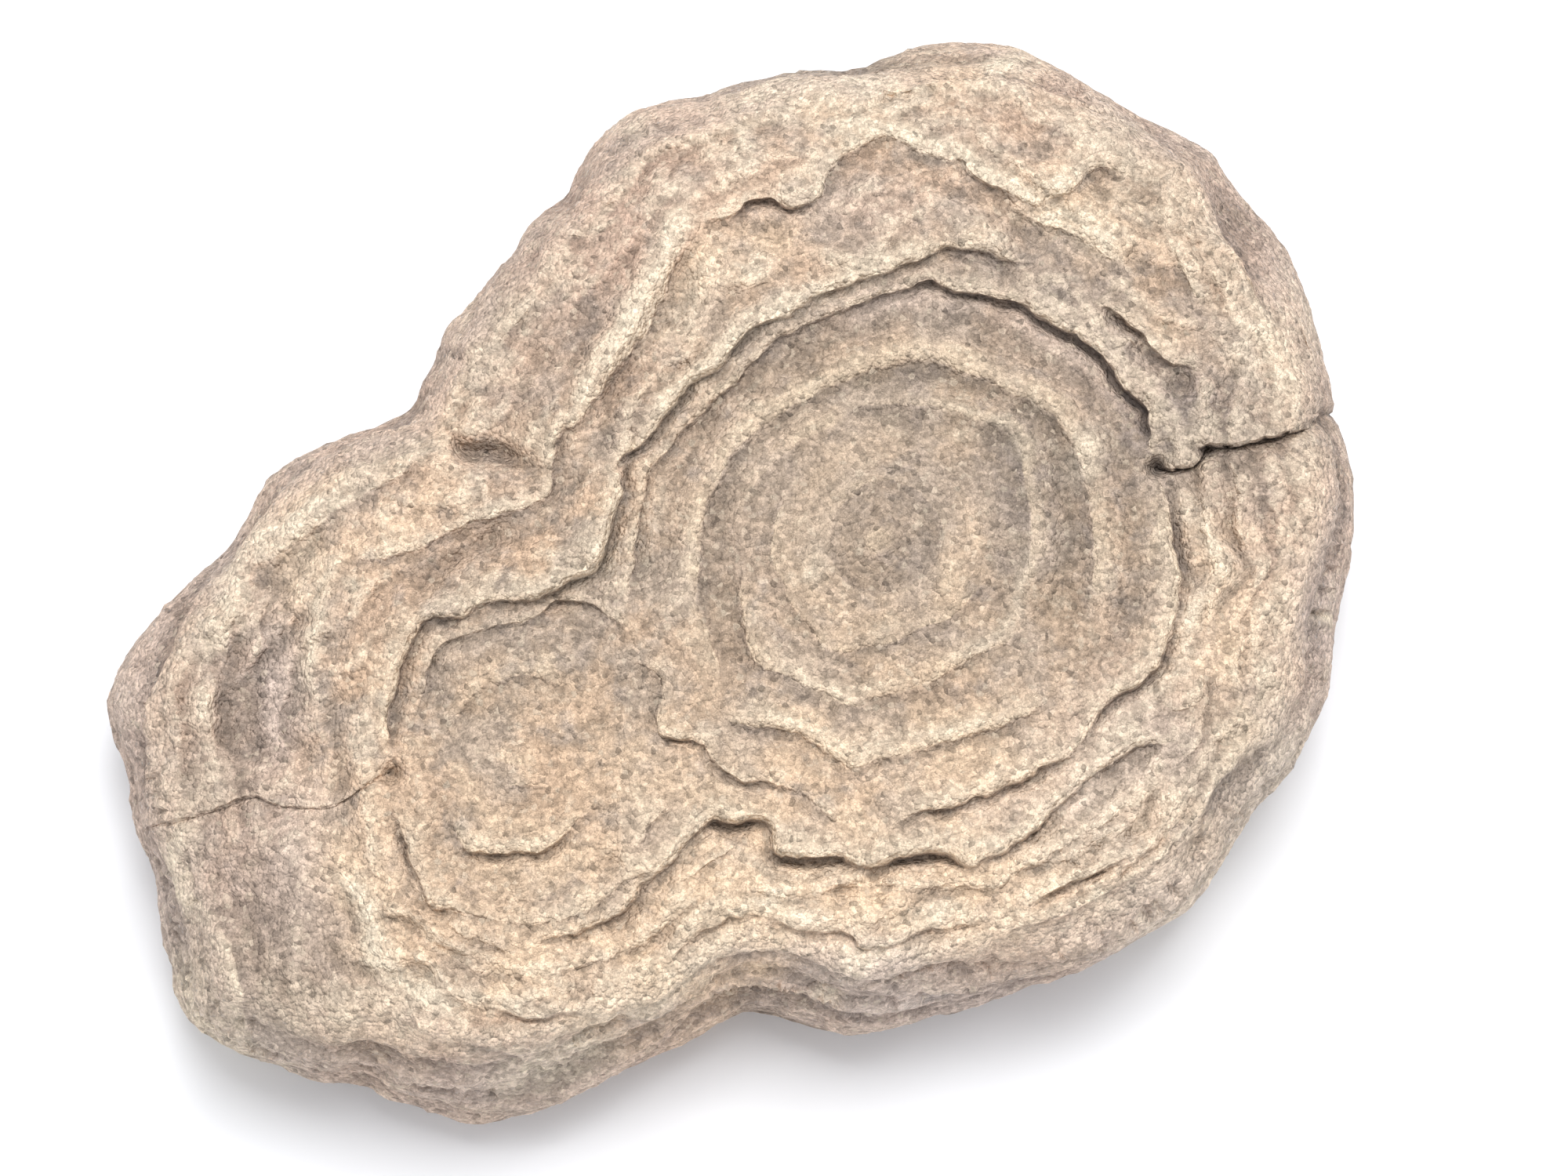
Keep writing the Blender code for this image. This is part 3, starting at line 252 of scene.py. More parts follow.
FRONT_LEDGES = (
    Ledge(((-62.5, -33.8), (-60.6, -40), (-59.4, -44.5), (-57.5, -47.7), (-55.6, -50.8), (-50, -52.7)),
        "left", 1.1, 0.6, 9.0, 0.7),
    Ledge(((-54.2, -52.9), (-51.3, -55.6), (-48.3, -55.8), (-42.5, -59)), "left", 0.9, 0.8),
    Ledge(((-40, -57.1), (-35.4, -55.6), (-32.5, -55), (-27.5, -52.1), (-23.8, -49.6), (-22.5, -47.5),
        (-16.7, -42.1), (-12.1, -37.1), (-8.3, -37.7), (-2.9, -37.2), (-1, -42.3), (1.3, -42.9),
        (7.9, -42.5), (12.1, -44), (15, -44.6), (18.3, -42.9), (25.4, -42.3), (29.2, -44.6),
        (31.3, -43.8), (36.7, -40.4), (44, -34.5), (50, -30), (53.8, -27), (56.7, -25.4), (62.1, -24.2)),
        "left", 2.7, 0.7, 11.0, 0.5),
    Ledge(((61.7, -28.3), (65.8, -24.8), (67.3, -19), (67.5, -12.5)), "left", 0.9, 0.7),
    Ledge(((16.7, -38.8), (21.7, -36), (28.3, -34.2), (35, -31.5), (42.9, -27.7), (47.5, -24.6),
        (50.4, -19.6), (54.2, -16.5), (59.6, -12.9), (61.7, -6.3), (63.5, 1.3), (62.3, 6), (61.3, 13.3),
        (59.8, 17.4)), "left", 2.2, 0.6, 9.0, 0.6),
    Ledge(((-24.2, -41.7), (-22.5, -40.6), (-21.3, -37.5), (-18.3, -35)), "left", 0.8, 0.7),
    Ledge(((-17.5, -47.5), (-12.1, -44.2), (-7.9, -40.8)), "left", 0.8, 0.7),
    Ledge(((-61.7, -50.8), (-56.5, -56.6), (-50.8, -60), (-46, -61.4), (-40.5, -61.8), (-34.5, -60.6),
        (-27.5, -58.4), (-22, -56.6), (-16, -51.4), (-10, -47.6)), "left", 1.4, 0.2, 6.0, 1.0),
    Ledge(((-60, -46.5), (-56.5, -50), (-50.5, -52), (-42.5, -53.5), (-36.5, -53), (-30.5, -50.5),
        (-25.5, -46.5), (-19.5, -44), (-16.5, -39.6)), "left", 1.4, 0.3, 5.0, 0.8),
    Ledge(((-66.4, -31), (-66.8, -38), (-65.6, -45), (-62.6, -52.6), (-57, -60.4), (-50, -64),
        (-43, -65.6), (-36, -65), (-29, -62.4)), "left", 0.8, 0.0, 6.0, 1.4),
    Ledge(((14, -48.6), (24, -47.6), (33, -47.4), (41, -43.6), (49, -38.4), (57, -33.6), (63, -29.4)),
        "left", 1.3, 0.2, 5.0, 0.8),
    Ledge(((34, -55.4), (43, -52.6), (52, -48.6), (60, -43), (66, -36.4), (70, -29)), "left", 1.4, 0.2,
        6.0, 0.9),
    Ledge(((5.8, -47.9), (12.1, -47.3), (21.3, -47.1)), "left", 0.6, 0.5),
    Ledge(((39.6, -50.4), (45.5, -46.9), (52.5, -44.2), (58.3, -41.3)), "left", 1.5, 0.8),
    Ledge(((-18.3, -59.2), (-13.8, -55.4), (-8.8, -52.5), (-2.5, -52.7), (3.8, -54.6), (10, -55),
        (12.5, -57.1), (17.5, -56.9), (23.3, -54.6), (31.7, -53.8)), "left", 1.5, 0.5),
    Ledge(((-74.6, -45.8), (-70, -47.9), (-67.9, -51.3), (-67.5, -55.4), (-66.3, -59.6), (-63.8, -62.9),
        (-56, -67.3), (-49.2, -70.4)), "left", 1.4, 0.0, 9.0, 1.6),
    Ledge(((-46.7, -67.1), (-43.3, -67.9), (-38.3, -68.8), (-31.7, -67.1)), "left", 1.6, 1.2),
    Ledge(((-36.7, -72.5), (-32.9, -70.4), (-26.7, -67.9), (-19.2, -65.4), (-17.1, -62.1)), "left", 1.8,
        0.8),
    Ledge(((-93.3, -37.5), (-95, -44.2), (-93.8, -48.3), (-90, -53.8), (-87.5, -59.6), (-85, -67.9),
        (-80, -73.8)), "right", 1.5, 0.2, 9.0, 1.2),
    Ledge(((69.6, 7.1), (72.5, 2.5), (68.3, -1.3), (67.9, -5.4)), "left", 0.7, 0.9),
    Ledge(((60, -20.4), (65.8, -18.3), (67, -13.5)), "left", 0.7, 0.9),
    Ledge(((73.3, -17.1), (72.1, -11.7), (73.8, -8.8), (72.9, -4.2), (77.1, 2.9), (77.5, 6.3)), "left",
        0.9, 0.7),
)

SIDE_LEDGES = (
    Ledge(((27.5, -65.4), (35.8, -63.2), (42.9, -59.4), (50.8, -55.4), (58.3, -51.1), (62.5, -48.4)),
        "left", 0.4, 2.6, 5.0),
    Ledge(((-67.5, -74.6), (-60.8, -75.4), (-57.5, -78.6), (-52.9, -81)), "left", 0.4, 2.2, 5.0),
    Ledge(((-1.5, -64.2), (3.8, -62.9), (10.8, -62.9), (19.2, -61.7), (24, -61.7)), "left", 0.5, 2.4,
        5.0),
    Ledge(((-49.5, -72.5), (-41.5, -74.6), (-33.3, -73.6), (-26, -71.2)), "left", 0.5, 1.6, 5.0),
    Ledge(((-96, -29), (-98.5, -20), (-97.5, -12), (-93, -5.5)), "right", 0.8, 0.8, 6.0),
)

# The rings of the two domes, from the middle outwards.
DOME_LEDGES = (
    Ledge(((9.4, 13.6), (13, 16.4), (17.6, 17), (21.8, 15), (24.8, 11.4), (25.3, 7), (23.4, 2.8),
        (19.6, 0), (15, -1), (10.6, 0.6), (7.8, 4.4), (7.4, 9.2)), "left", 0.9, 0.0, 4.0, 1.4, True),
    Ledge(((0.8, 17.1), (-0.9, 11.3), (-2.1, 6.3), (-0.2, 0.4), (3.8, -6.3), (8.3, -9.8), (15.4, -9),
        (21.7, -6.5), (27.1, -4.4), (32.9, 2.5)), "left", 1.1, 0.15, 5.0, 1.1),
    Ledge(((-6.7, 4.6), (-6.8, -3), (-4.6, -11.7), (1.3, -14.2), (6.7, -16.7), (10.8, -18.9),
        (15.4, -16.8), (20.4, -16.3), (25.4, -14), (32.5, -9.8), (38.8, -6.5)), "left", 1.5, 0.25, 5.0,
        0.9),
    Ledge(((37.4, -1.3), (39.4, 6.3), (38.8, 14.6), (36.7, 24.6), (29.2, 27.3), (22.9, 28.8),
        (13.3, 29.2), (5.4, 24.6), (0, 21.7), (-6.3, 13.8), (-7.1, 9.2)), "right", 0.7, 0.0, 5.0, 1.4),
    Ledge(((42.5, -13.8), (47.6, -5.4), (49.6, 4.2), (48.2, 16.5), (46.1, 22.8), (41.9, 28.2), (37, 31),
        (31.2, 33.8), (25, 35.4), (20, 36), (14.6, 35.2), (9, 32.6), (3.8, 30.4), (-6.9, 22.8),
        (-12.1, 13.4), (-13.4, 6.3), (-13.8, -2.1), (-11.2, -9.6), (-9.6, -16.4)), "right", 1.1, 0.0, 5.0,
        1.3),
    Ledge(((-10.8, -19.8), (-6.7, -21.7), (0, -22.5), (5.4, -25), (10, -28.3), (16.7, -27.1),
        (23.3, -25.8), (30, -23.3), (36.3, -21.3), (42.5, -17.9)), "left", 1.8, 0.3, 6.0, 0.7),
    Ledge(((-27.1, -10.8), (-21.3, -12.7), (-19.8, -16.7), (-19.6, -22.5), (-13.3, -24.8), (-10.8, -27.9),
        (-6.3, -30.6), (0, -31.5), (4.6, -34.2), (10.8, -38.8)), "left", 1.3, 0.5, 9.0, 0.6),
    Ledge(((-53.3, -36.3), (-50, -41.7), (-43.3, -42.3), (-37.1, -41.3), (-32.5, -36.7), (-28.3, -34)),
        "left", 1.8, 0.4, 6.0, 0.6),
    Ledge(((-44.6, -31.3), (-41, -31.8), (-36.3, -31.3)), "left", 0.8, 0.3, 4.0, 0.8),
    Ledge(((-47.6, -26.4), (-43, -28), (-38.6, -27.6)), "left", 0.6, 0.0, 4.0, 0.9),
    Ledge(((-55.6, -39), (-53.4, -44.6), (-48.6, -48.4), (-42, -49.8), (-36, -48), (-30.6, -43.6),
        (-26, -38)), "left", 0.7, 0.0, 4.0, 1.2),
    Ledge(((-54.5, -24), (-50.5, -17.5), (-44, -14.2), (-37, -14.6), (-31.6, -18.6)), "left", 1.0, 0.0,
        5.0, 1.0),
)

# Troughs and hollows that are both a dip in the rock and a streak of colour: greyer along the
# troughs, and painted shade along the hollows.
OUTER_TROUGH = (
    (-17.4, 2), (-17.9, 10), (-16.6, 16), (-11.4, 26.4), (1, 36), (13.4, 41.3), (24.5, 42.6),
    (35.4, 39.6), (46.6, 33), (51.6, 26.6), (55, 17), (56, 4), (52.6, -8),
)
INNER_TROUGH = (
    (-10.6, 4), (-10.2, 10), (-8.8, 16.4), (-3, 24), (3.4, 29.4), (13.6, 33.8), (23.4, 34), (31.6, 31.8),
    (41, 27.2), (44.4, 20), (45.6, 10), (44.4, 2), (41, -6),
)
NOTCH_HOLLOW = ((-52.9, 25.8), (-52.1, 23.3), (-50, 21.7), (-47.5, 22.3), (-45, 21.7), (-41, 20.2))
LEFT_HOLLOW = ((-85.6, -7.5), (-87.9, -12.1), (-89.8, -16), (-89.8, -19.6), (-88.9, -23), (-89.6, -28))
BACK_HOLLOW = ((-30, 62), (-22, 68), (-18, 69.5), (-12, 71.5))
SHOULDER_HOLLOW = ((-27, 70), (-33, 62), (-38, 54), (-43.5, 45), (-47, 38))
RIGHT_HOLLOW = ((71.6, 8), (73.6, 4), (72.4, 0.4), (69.8, -2), (69.4, -6.4))
CORNER_HOLLOW = ((72, 62), (77, 53), (80.4, 44))

# Ridges stand up from the top along their points, and valleys, with a height below nought, sink
# into it: (points, height, half width).
RIDGES = (
    (((-12.1, 60.4), (-17, 57.8), (-21.7, 49.2), (-24.6, 42.9), (-30, 35), (-33.5, 29.5)), 1.4, 2.6),
    (((-68, 15.5), (-77.5, 10.4), (-85.4, 3.8), (-89.2, -5), (-91.3, -11.3)), 1.3, 2.6),
    (((-93.3, -15), (-92.9, -19.6), (-93.3, -22.9)), 1.0, 2.2),
    (((-53.8, 27), (-52.8, 24), (-50.2, 22.2), (-46, 21.6), (-41, 19.4), (-38, 16.6)), -1.4, 1.5),
    (((-70, 6.7), (-72.4, 4.5), (-74.6, -4.2), (-76.3, -14.2), (-74.6, -18.8)), 1.0, 1.8),
    (((-80.6, -1.5), (-84, -4), (-84.4, -8), (-84.2, -12)), 0.9, 1.6),
    (((63.8, 17), (66.3, 9.6), (69.6, 2.9), (65, -4.2), (63.6, -9.5)), 1.2, 2.2),
    (((46.7, 62), (49.6, 59.2), (53.3, 55.4), (55.4, 52.9)), 1.2, 2.2),
    (((-15.6, -2), (-15.2, 6.3), (-13.8, 14.2), (-8.2, 24.4), (3.2, 32), (10, 35), (15, 37), (20, 38.4),
        (25.4, 37.9), (30.4, 36.4), (36, 33.6), (43, 30), (47, 25.4), (49, 22), (50.2, 16.5), (51.4, 4.2),
        (49.1, -5.4)), 0.55, 2.4),
    (((-7.6, 8), (-6.8, 14.4), (-0.6, 22.6), (4.8, 26.2), (13.3, 30.6), (22.9, 30.2), (29.8, 28.7),
        (37.9, 25.6), (39.8, 14.6), (40.6, 6.3), (38.4, -1.3)), 0.5, 2.0),
    (OUTER_TROUGH, -0.6, 2.6),
    (INNER_TROUGH, -0.5, 2.0),
    (NOTCH_HOLLOW, -1.7, 1.3),
    (LEFT_HOLLOW, -1.4, 1.6),
    (((-42, 7.4), (-50, 6.3), (-57, 1), (-61, -1.8)), -1.2, 1.7),
    (BACK_HOLLOW, -1.6, 2.8),
    (SHOULDER_HOLLOW, -1.3, 2.6),
    (((-20, 74), (-28, 69.5), (-33.5, 60.5), (-39, 52), (-45.5, 44.5)), 0.8, 2.0),
    (((67, 24.6), (65.4, 27.6), (65.8, 31), (67.5, 34)), 0.9, 1.6),
    (RIGHT_HOLLOW, -0.9, 1.4),
    (((76.6, -2), (75.4, -8.6), (75.8, -12)), 0.8, 1.5),
    (((57.6, 61.4), (61.6, 57.4), (64.6, 52.4), (67, 47)), 0.8, 1.8),
    (CORNER_HOLLOW, -0.9, 2.4),
    (((-2, 75.4), (10, 77), (22, 79.6)), -0.7, 1.8),
    (((-96.6, -30), (-97.4, -22), (-96, -14)), -0.6, 2.0),
    (((-66.5, -22), (-67, -30), (-66, -38), (-63.4, -46)), 0.6, 2.0),
    (((-70.6, -16), (-71, -26), (-70.6, -36), (-68.4, -44)), -0.5, 1.8),
)

# Lumps and hollows: (u, v, height, half width), a hollow with a height below nought.
LUMPS = (
    (14.6, 7.5, 1.1, 3.2), (-42, -28.5, 0.9, 5.0), (-83.5, -19, -2.6, 7.5), (-84, -52, -1.2, 6.0),
    (-46, 20.5, -0.6, 5.0), (-46, 6.8, -1.3, 3.0), (63.8, 33.4, -1.4, 1.9), (-27.1, -43.8, -1.2, 1.4),
    (-62.5, -29.6, -2.4, 1.7), (-3, 56.5, -0.8, 5.0), (-48.8, -72.5, -1.4, 3.0), (-5, -66, -2.5, 4.5),
    (7.3, -64.8, 0.9, 1.6), (79, 0, 0.8, 6.0), (67.4, 22, -2.2, 1.2), (-75, -62, -1.2, 8.0),
    (72, 60, -0.8, 6.0),
)

# Cracks are narrow and cut through the layers: (points, depth, half width, step).
Crack = namedtuple("Crack", "points depth width step")
CRACKS = (
    Crack(((59.4, 19.4), (62.1, 18.8), (65.8, 19.8), (67.5, 22.5), (72.5, 22.7), (78.3, 24), (82.9, 25.8),
        (85, 28.2), (86.9, 27.7)), 1.0, 0.38, 2.8),
    Crack(((-103, -38.2), (-97.5, -37.3), (-92.1, -36), (-86.7, -33.8), (-83.3, -33.3), (-81.3, -34.6),
        (-72.5, -35), (-66, -31), (-62.5, -28.6)), 0.5, 0.3, 0.5),
)
CRACK_HOLE = (59.6, 19.2, -4.0, 1.4)

# Stretches where the crevice under a layer's edge is open and deeper: (points, depth, width).
DEEP_GAPS = (
    (((18.6, 47.0), (22.5, 48.4), (26.8, 46.9), (31.6, 45.4), (37.6, 44.4), (41.8, 41.5)), 1.0, 0.72),
    (((38.5, 43.7), (44.4, 40.3), (49.1, 36.8), (52.3, 33.6), (54.6, 30.2), (57.2, 27.2), (57.6, 23)),
        1.5, 1.04),
    (((50.8, 44.2), (55, 41.8), (57.2, 38.2), (60.6, 36), (64.4, 34.2)), 1.3, 0.94),
    (((-0.4, 42.2), (-4.4, 40.8), (-7, 38.6), (-9.4, 35.8)), 1.0, 0.66),
    (((-53.4, 25.2), (-52.2, 23.4), (-50, 22.2), (-47.6, 21.9)), 0.5, 0.5),
    (((-13.6, 32.6), (-16.6, 28.4), (-20.4, 24), (-23.6, 20.8), (-25.6, 18.6)), 1.0, 0.77),
    (((-25.6, 14.6), (-26.9, 10.4), (-28.4, 5.4), (-29.8, 2.4)), 1.0, 0.66),
    (((-30.4, 1.6), (-33.8, 0.6), (-38.4, -1.8)), 0.7, 0.55),
    (((-12.6, -39), (-11, -37.4), (-8.3, -38.5), (-5, -38.4), (-3, -38)), 1.4, 0.83),
    (((-2.2, -41.8), (0.6, -43.7), (4.6, -43.5), (7.9, -43.3), (11.6, -44.8)), 1.6, 0.94),
    (((16.6, -45), (18.6, -43.7), (22, -43.2), (26.6, -43.4), (28.8, -45.2)), 1.5, 0.88),
    (((22, -36.8), (27, -35.5), (33, -33), (40, -29.8), (46.6, -25.8)), 0.8, 0.61),
    (((48.8, -23), (52, -18.4), (57, -16), (60.2, -12.4), (62.4, -6)), 0.8, 0.72),
    (((64.2, 0.8), (63.2, 6), (62.2, 11.6)), 0.9, 0.83),
    (((31.6, -44.4), (36.8, -41), (41.8, -37)), 0.8, 0.55),
    (((-19.8, -22.8), (-17.5, -24.6), (-14.4, -25.6)), 1.0, 0.66),
    (((-10.4, -28.8), (-6.3, -31.4), (-1, -32.2)), 0.6, 0.55),
    (((-8.4, 59.2), (-5.4, 60.6), (-2.4, 61.4), (0.8, 60.2), (4.6, 61)), 1.4, 0.83),
    (((-51, -42.2), (-47, -43.2), (-42, -43.1), (-37.4, -42.2), (-33.6, -39)), 0.8, 0.72),
    (((-61.8, -38), (-60.2, -43.4), (-58.8, -47)), 0.6, 0.55),
    (((40, -51), (45.5, -47.8), (52, -45)), 0.7, 0.61),
    (((-56, -5.6), (-53, -5.8), (-50.6, -5.4)), 0.6, 0.55),
    (((-30, -53.8), (-25.6, -51.6), (-22.4, -48.4)), 0.5, 0.55),
    (((34, 62.8), (29.6, 65.6), (27.4, 67.4)), 0.6, 0.55),
)

# Where the stone is drawn paler, greyer, pinker, more mauve, yellower or darker than its general
# tan; some of the darker and greyer patches are painted shade. A patch is a soft oval: (u, v, half
# width, half height, lean in degrees, strength).
# Grey patches: partly greyer rock, partly painted shade below the back rim and over the domes' upper
# parts.
GREY_PATCHES = (
    (14, 30, 34, 13, 0, 0.64), (44, 6, 12, 24, 0, 0.47), (16, 7, 11, 11, 0, 0.64),
    (-12, 2, 9, 26, 12, 0.51), (18, -18, 30, 9, -6, 0.26), (-38, -14, 18, 8, 8, 0.42),
    (-24, -22, 9, 12, 0, 0.34), (-10, -35, 9, 6, 30, 0.42), (56, 2, 6, 20, 0, 0.34),
    (-52, -34, 6, 14, 0, 0.3), (62, 30, 12, 8, 30, 0.38), (38, 19, 11, 15, 0, 0.85),
    (8, 12, 24, 20, 0, 0.6), (22, -6, 16, 6, 0, 0.5), (58, 12, 9, 16, 0, 0.5), (68, 25, 14, 5, 6, 0.7),
    (48, 46, 14, 8, -40, 0.4), (32, 52, 16, 4, 0, 0.35), (72, -26, 8, 14, -30, 0.4),
    (70, 50, 6, 10, 30, 0.3), (-82, -60, 12, 12, -20, 0.7), (-91, -30, 7, 9, 0, 0.5),
    (-44, -8, 20, 6, 0, 0.4), (36, 24, 8, 8, 0, 0.9), (5, 84, 16, 3, 6, 0.9), (62, 22, 24, 6, 4, 0.85),
    (56, 64, 8, 6, -30, 0.5), (36, 2, 5, 12, 0, 0.6), (18, -9, 14, 3.5, 0, 0.5), (-42, 42, 5, 6, 40, 0.4),
    (44, 18, 20, 16, 0, 0.55), (14, 8, 36, 26, 0, 0.4), (-40, -5, 22, 9, 0, 0.25),
    (32, 51, 26, 4.5, -6, 0.5), (-38, 23, 7, 7, 40, 0.4), (-50, -40, 16, 12, 0, 0.25),
    (66, 26, 12, 6, 0, 0.6), (-72, -66, 8, 5, -30, 0.5), (-14, -55, 9, 5, 40, 0.3),
)
SIDE_PATCHES = (
    (-87, -56, 13, 20, 0, 1), (-62, -76, 22, 7, -12, 0.95), (8, -61, 22, 6, 0, 0.95),
    (-24, -71, 22, 6, 15, 0.5), (85, -14, 7, 26, 0, 0.7), (68, -46, 7, 14, -45, 0.95),
    (-98, -24, 8, 20, 0, 0.5), (38, -60, 20, 5, 20, 0.9), (-80, -48, 8, 14, 0, 0.7),
)
DOMES = ((17, 7, 46, 40, 0, 1.0), (-40, -28, 22, 24, 0, 1.0))
PINK_PATCHES = (
    (-28, 56, 26, 20, 50, 0.8), (-44, 38, 16, 12, 50, 0.5), (45, 72, 28, 10, -20, 0.5),
    (-60, 12, 26, 12, 40, 0.45), (-92, -32, 16, 26, 0, 0.65), (-84, -56, 14, 18, 0, 0.6),
    (78, 18, 10, 20, 0, 0.5), (76, 52, 14, 18, 40, 0.5), (-30, -76, 34, 8, -12, 0.6),
    (40, -60, 36, 8, 22, 0.6), (84, -16, 8, 30, 0, 0.6), (10, 60, 30, 8, 15, 0.25),
    (-10, 68, 14, 7, 20, 0.5),
)
MAUVE_PATCHES = (
    (62, -54, 18, 9, 38, 1), (68, -12, 7, 14, 0, 0.5), (52, -30, 20, 12, 32, 0.75),
    (46, 41, 18, 8, -40, 0.55), (17, 46, 14, 5, 10, 0.55), (11, -60, 16, 5, 0, 0.8),
    (-76, -46, 6, 16, 0, 0.55), (78, -33, 7, 14, -32, 1), (86, -8, 4, 14, 0, 0.5),
    (62, 32, 12, 6, 0, 0.4), (-40, -78, 18, 5, 8, 0.5), (-98, -52, 6, 18, 8, 0.5),
    (-87, -72, 12, 6, -20, 0.7), (22, -66, 22, 4, 8, 0.8), (-105, -22, 4, 16, 0, 0.3),
    (-2, 20, 14, 18, 0, 0.35), (-81, -15, 6, 14, 0, 0.6), (12, 60, 14, 6, 0, 0.3),
)
YELLOW_PATCHES = (
    (8, -46, 46, 11, 4, 1), (-34, -60, 26, 10, -8, 1), (55, -36, 14, 7, 40, 0.5),
    (-6, -62, 9, 3, 20, 0.8), (46, 58, 10, 3, -35, 0.9), (20, -26, 34, 8, -4, 0.8),
    (18, -8, 20, 7, 0, 0.72), (48, 60, 12, 8, -35, 0.72), (-66, -50, 8, 18, 12, 0.8),
    (30, 84, 12, 3, 0, 0.6), (12, 24, 26, 4, 0, 0.48), (-40, -45, 14, 6, 0, 0.8), (70, -8, 7, 16, 0, 0.8),
    (-62, 10, 14, 6, 35, 0.64), (4, 12, 8, 16, 20, 0.72), (30, 10, 5, 14, 0, 0.56),
    (52, 47, 14, 4, -35, 0.5), (-13, 49, 6, 9, -30, 0.9), (-77, 3, 5, 8, 10, 0.8),
    (-3, 56, 7, 3, 10, 0.8), (-45, -22, 8, 14, 0, 0.25), (-13, -24, 12, 12, 0, 0.35),
    (-14, -33, 18, 7, -20, 0.85), (69, 2, 5, 8, 0, 0.7),
)
# Darker patches: partly the rock's darker stains, partly painted shade in hollows, under lumps and below
# ledges.
DARK_PATCHES = (
    (18, 6, 30, 24, 0, 0.22), (36, 48, 28, 10, -15, 0.2), (-45, -6, 20, 8, 0, 0.16),
    (-40, 30, 9, 20, -35, 0.16), (-60, -30, 12, 8, 0, 0.12), (-45, -52, 20, 5, 0, 0.12),
    (66, -20, 8, 8, 0, 0.2), (80, 10, 5, 14, 0, 0.2), (-84, -45, 6, 24, 0, 0.16),
    (56, 66, 14, 6, -40, 0.16), (-6, -10, 10, 20, 0, 0.12), (-84, -20, 6, 13, 4, 0.29),
    (-84, -50, 8, 14, 8, 0.2), (-45, 7, 5, 3, 0, 0.23), (-55, 4, 8, 4, 35, 0.18),
    (-22, 69, 12, 3.5, 20, 0.2), (0, 57, 9, 4, 0, 0.08), (-49, 22, 4, 1.8, -15, 0.23),
    (72, -2, 3, 9, 0, 0.14), (-48.8, -72.5, 4, 2.5, 0, 0.3), (0, -65.5, 8, 3, 0, 0.2),
    (4, 82, 14, 2.4, 6, 0.45), (63, 27, 17, 8, 6, 0.75), (38, 18, 9, 14, 0, 0.5),
    (51, 20, 9, 11, 0, 0.35), (33, 2, 9, 13, 0, 0.25), (22, -9, 15, 4, 0, 0.35), (52, -4, 5, 12, 0, 0.3),
    (58, 34, 8, 5, 0, 0.3), (42, 66, 8, 4, -20, 0.2), (-43, 41, 5, 7, 40, 0.25), (82, 22, 4, 8, 0, 0.3),
    (46, 49, 11, 4.5, -30, 0.5), (34, 53.6, 12, 2.4, 0, 0.4), (13, 7, 3, 3, 0, 0.12),
    (-37, 26, 4, 6, 0, 0.18), (72, 5, 4, 3, 0, 0.18), (-24, 30, 4, 10, -35, 0.1),
    (66, -18, 5, 4, 30, 0.18), (30, 64, 6, 3, -20, 0.14), (78, 60, 8, 5, -45, 0.12),
    (-30, -70, 6, 2.5, 20, 0.14),
)
PALE_PATCHES = (
    (35.4, 84.5, 3.5, 2.2, 0, 0.95), (48, -40, 14, 7, 35, 0.3), (-4, 77.4, 6, 1.6, 6, 0.7),
    (14, 78.6, 8, 1.6, 6, 0.6), (-24, 73.6, 3, 1.6, 10, 0.5), (-6, 69.6, 3.2, 2.6, 0, 0.6),
    (52, 72.5, 4, 2.2, -20, 0.5), (14, 73.4, 5, 2.4, 0, 0.8), (-4, 51, 2.6, 2.4, 0, 0.7),
    (-14, 47, 3.5, 7, -25, 0.5), (3, 47, 3, 1.6, 20, 0.4), (-23, 44, 2.2, 3, -20, 0.5),
    (-32, 31, 2, 3, -20, 0.6), (-29.5, 5, 1.6, 3.4, 0, 0.55), (-40, 0, 3, 1.4, 0, 0.4),
    (-68.3, 0.3, 1.8, 1.3, 0, 0.9), (77, 38, 6, 8, 20, 0.6), (79.2, -2.5, 1.8, 3, 0, 0.55),
    (77, -14, 2, 3, 10, 0.5), (64, -8.5, 1.6, 2.6, 0, 0.5), (86.9, -4.6, 0.9, 1.4, 0, 0.95),
    (6, 3.6, 1.8, 3, 0, 0.6), (28, -39.5, 6, 1.6, 4, 0.45), (-57, -62.5, 2.6, 1.6, -30, 0.6),
    (-50, -65, 3, 1.4, -10, 0.6), (0, -50.5, 5, 1.3, -4, 0.5), (14, -59, 3, 1.4, 0, 0.95),
    (49.8, -49, 1.6, 1.2, 20, 0.8), (7.3, -64.8, 1.3, 0.9, 0, 0.9), (-50.8, -75.8, 1.0, 0.8, 0, 0.9),
    (-80, -76, 3, 1.8, -10, 0.5), (-22, 6, 1.2, 6, 0, 0.3), (56, 60, 4, 1.6, -30, 0.4),
    (48, 22, 1.8, 3.6, -20, 0.5), (83, 44, 1.4, 8, 12, 0.5), (60, 40, 3, 1.4, -20, 0.3),
    (20, -58, 5, 1.2, 4, 0.4), (-20, 13, 1.2, 4, 0, 0.4),
)
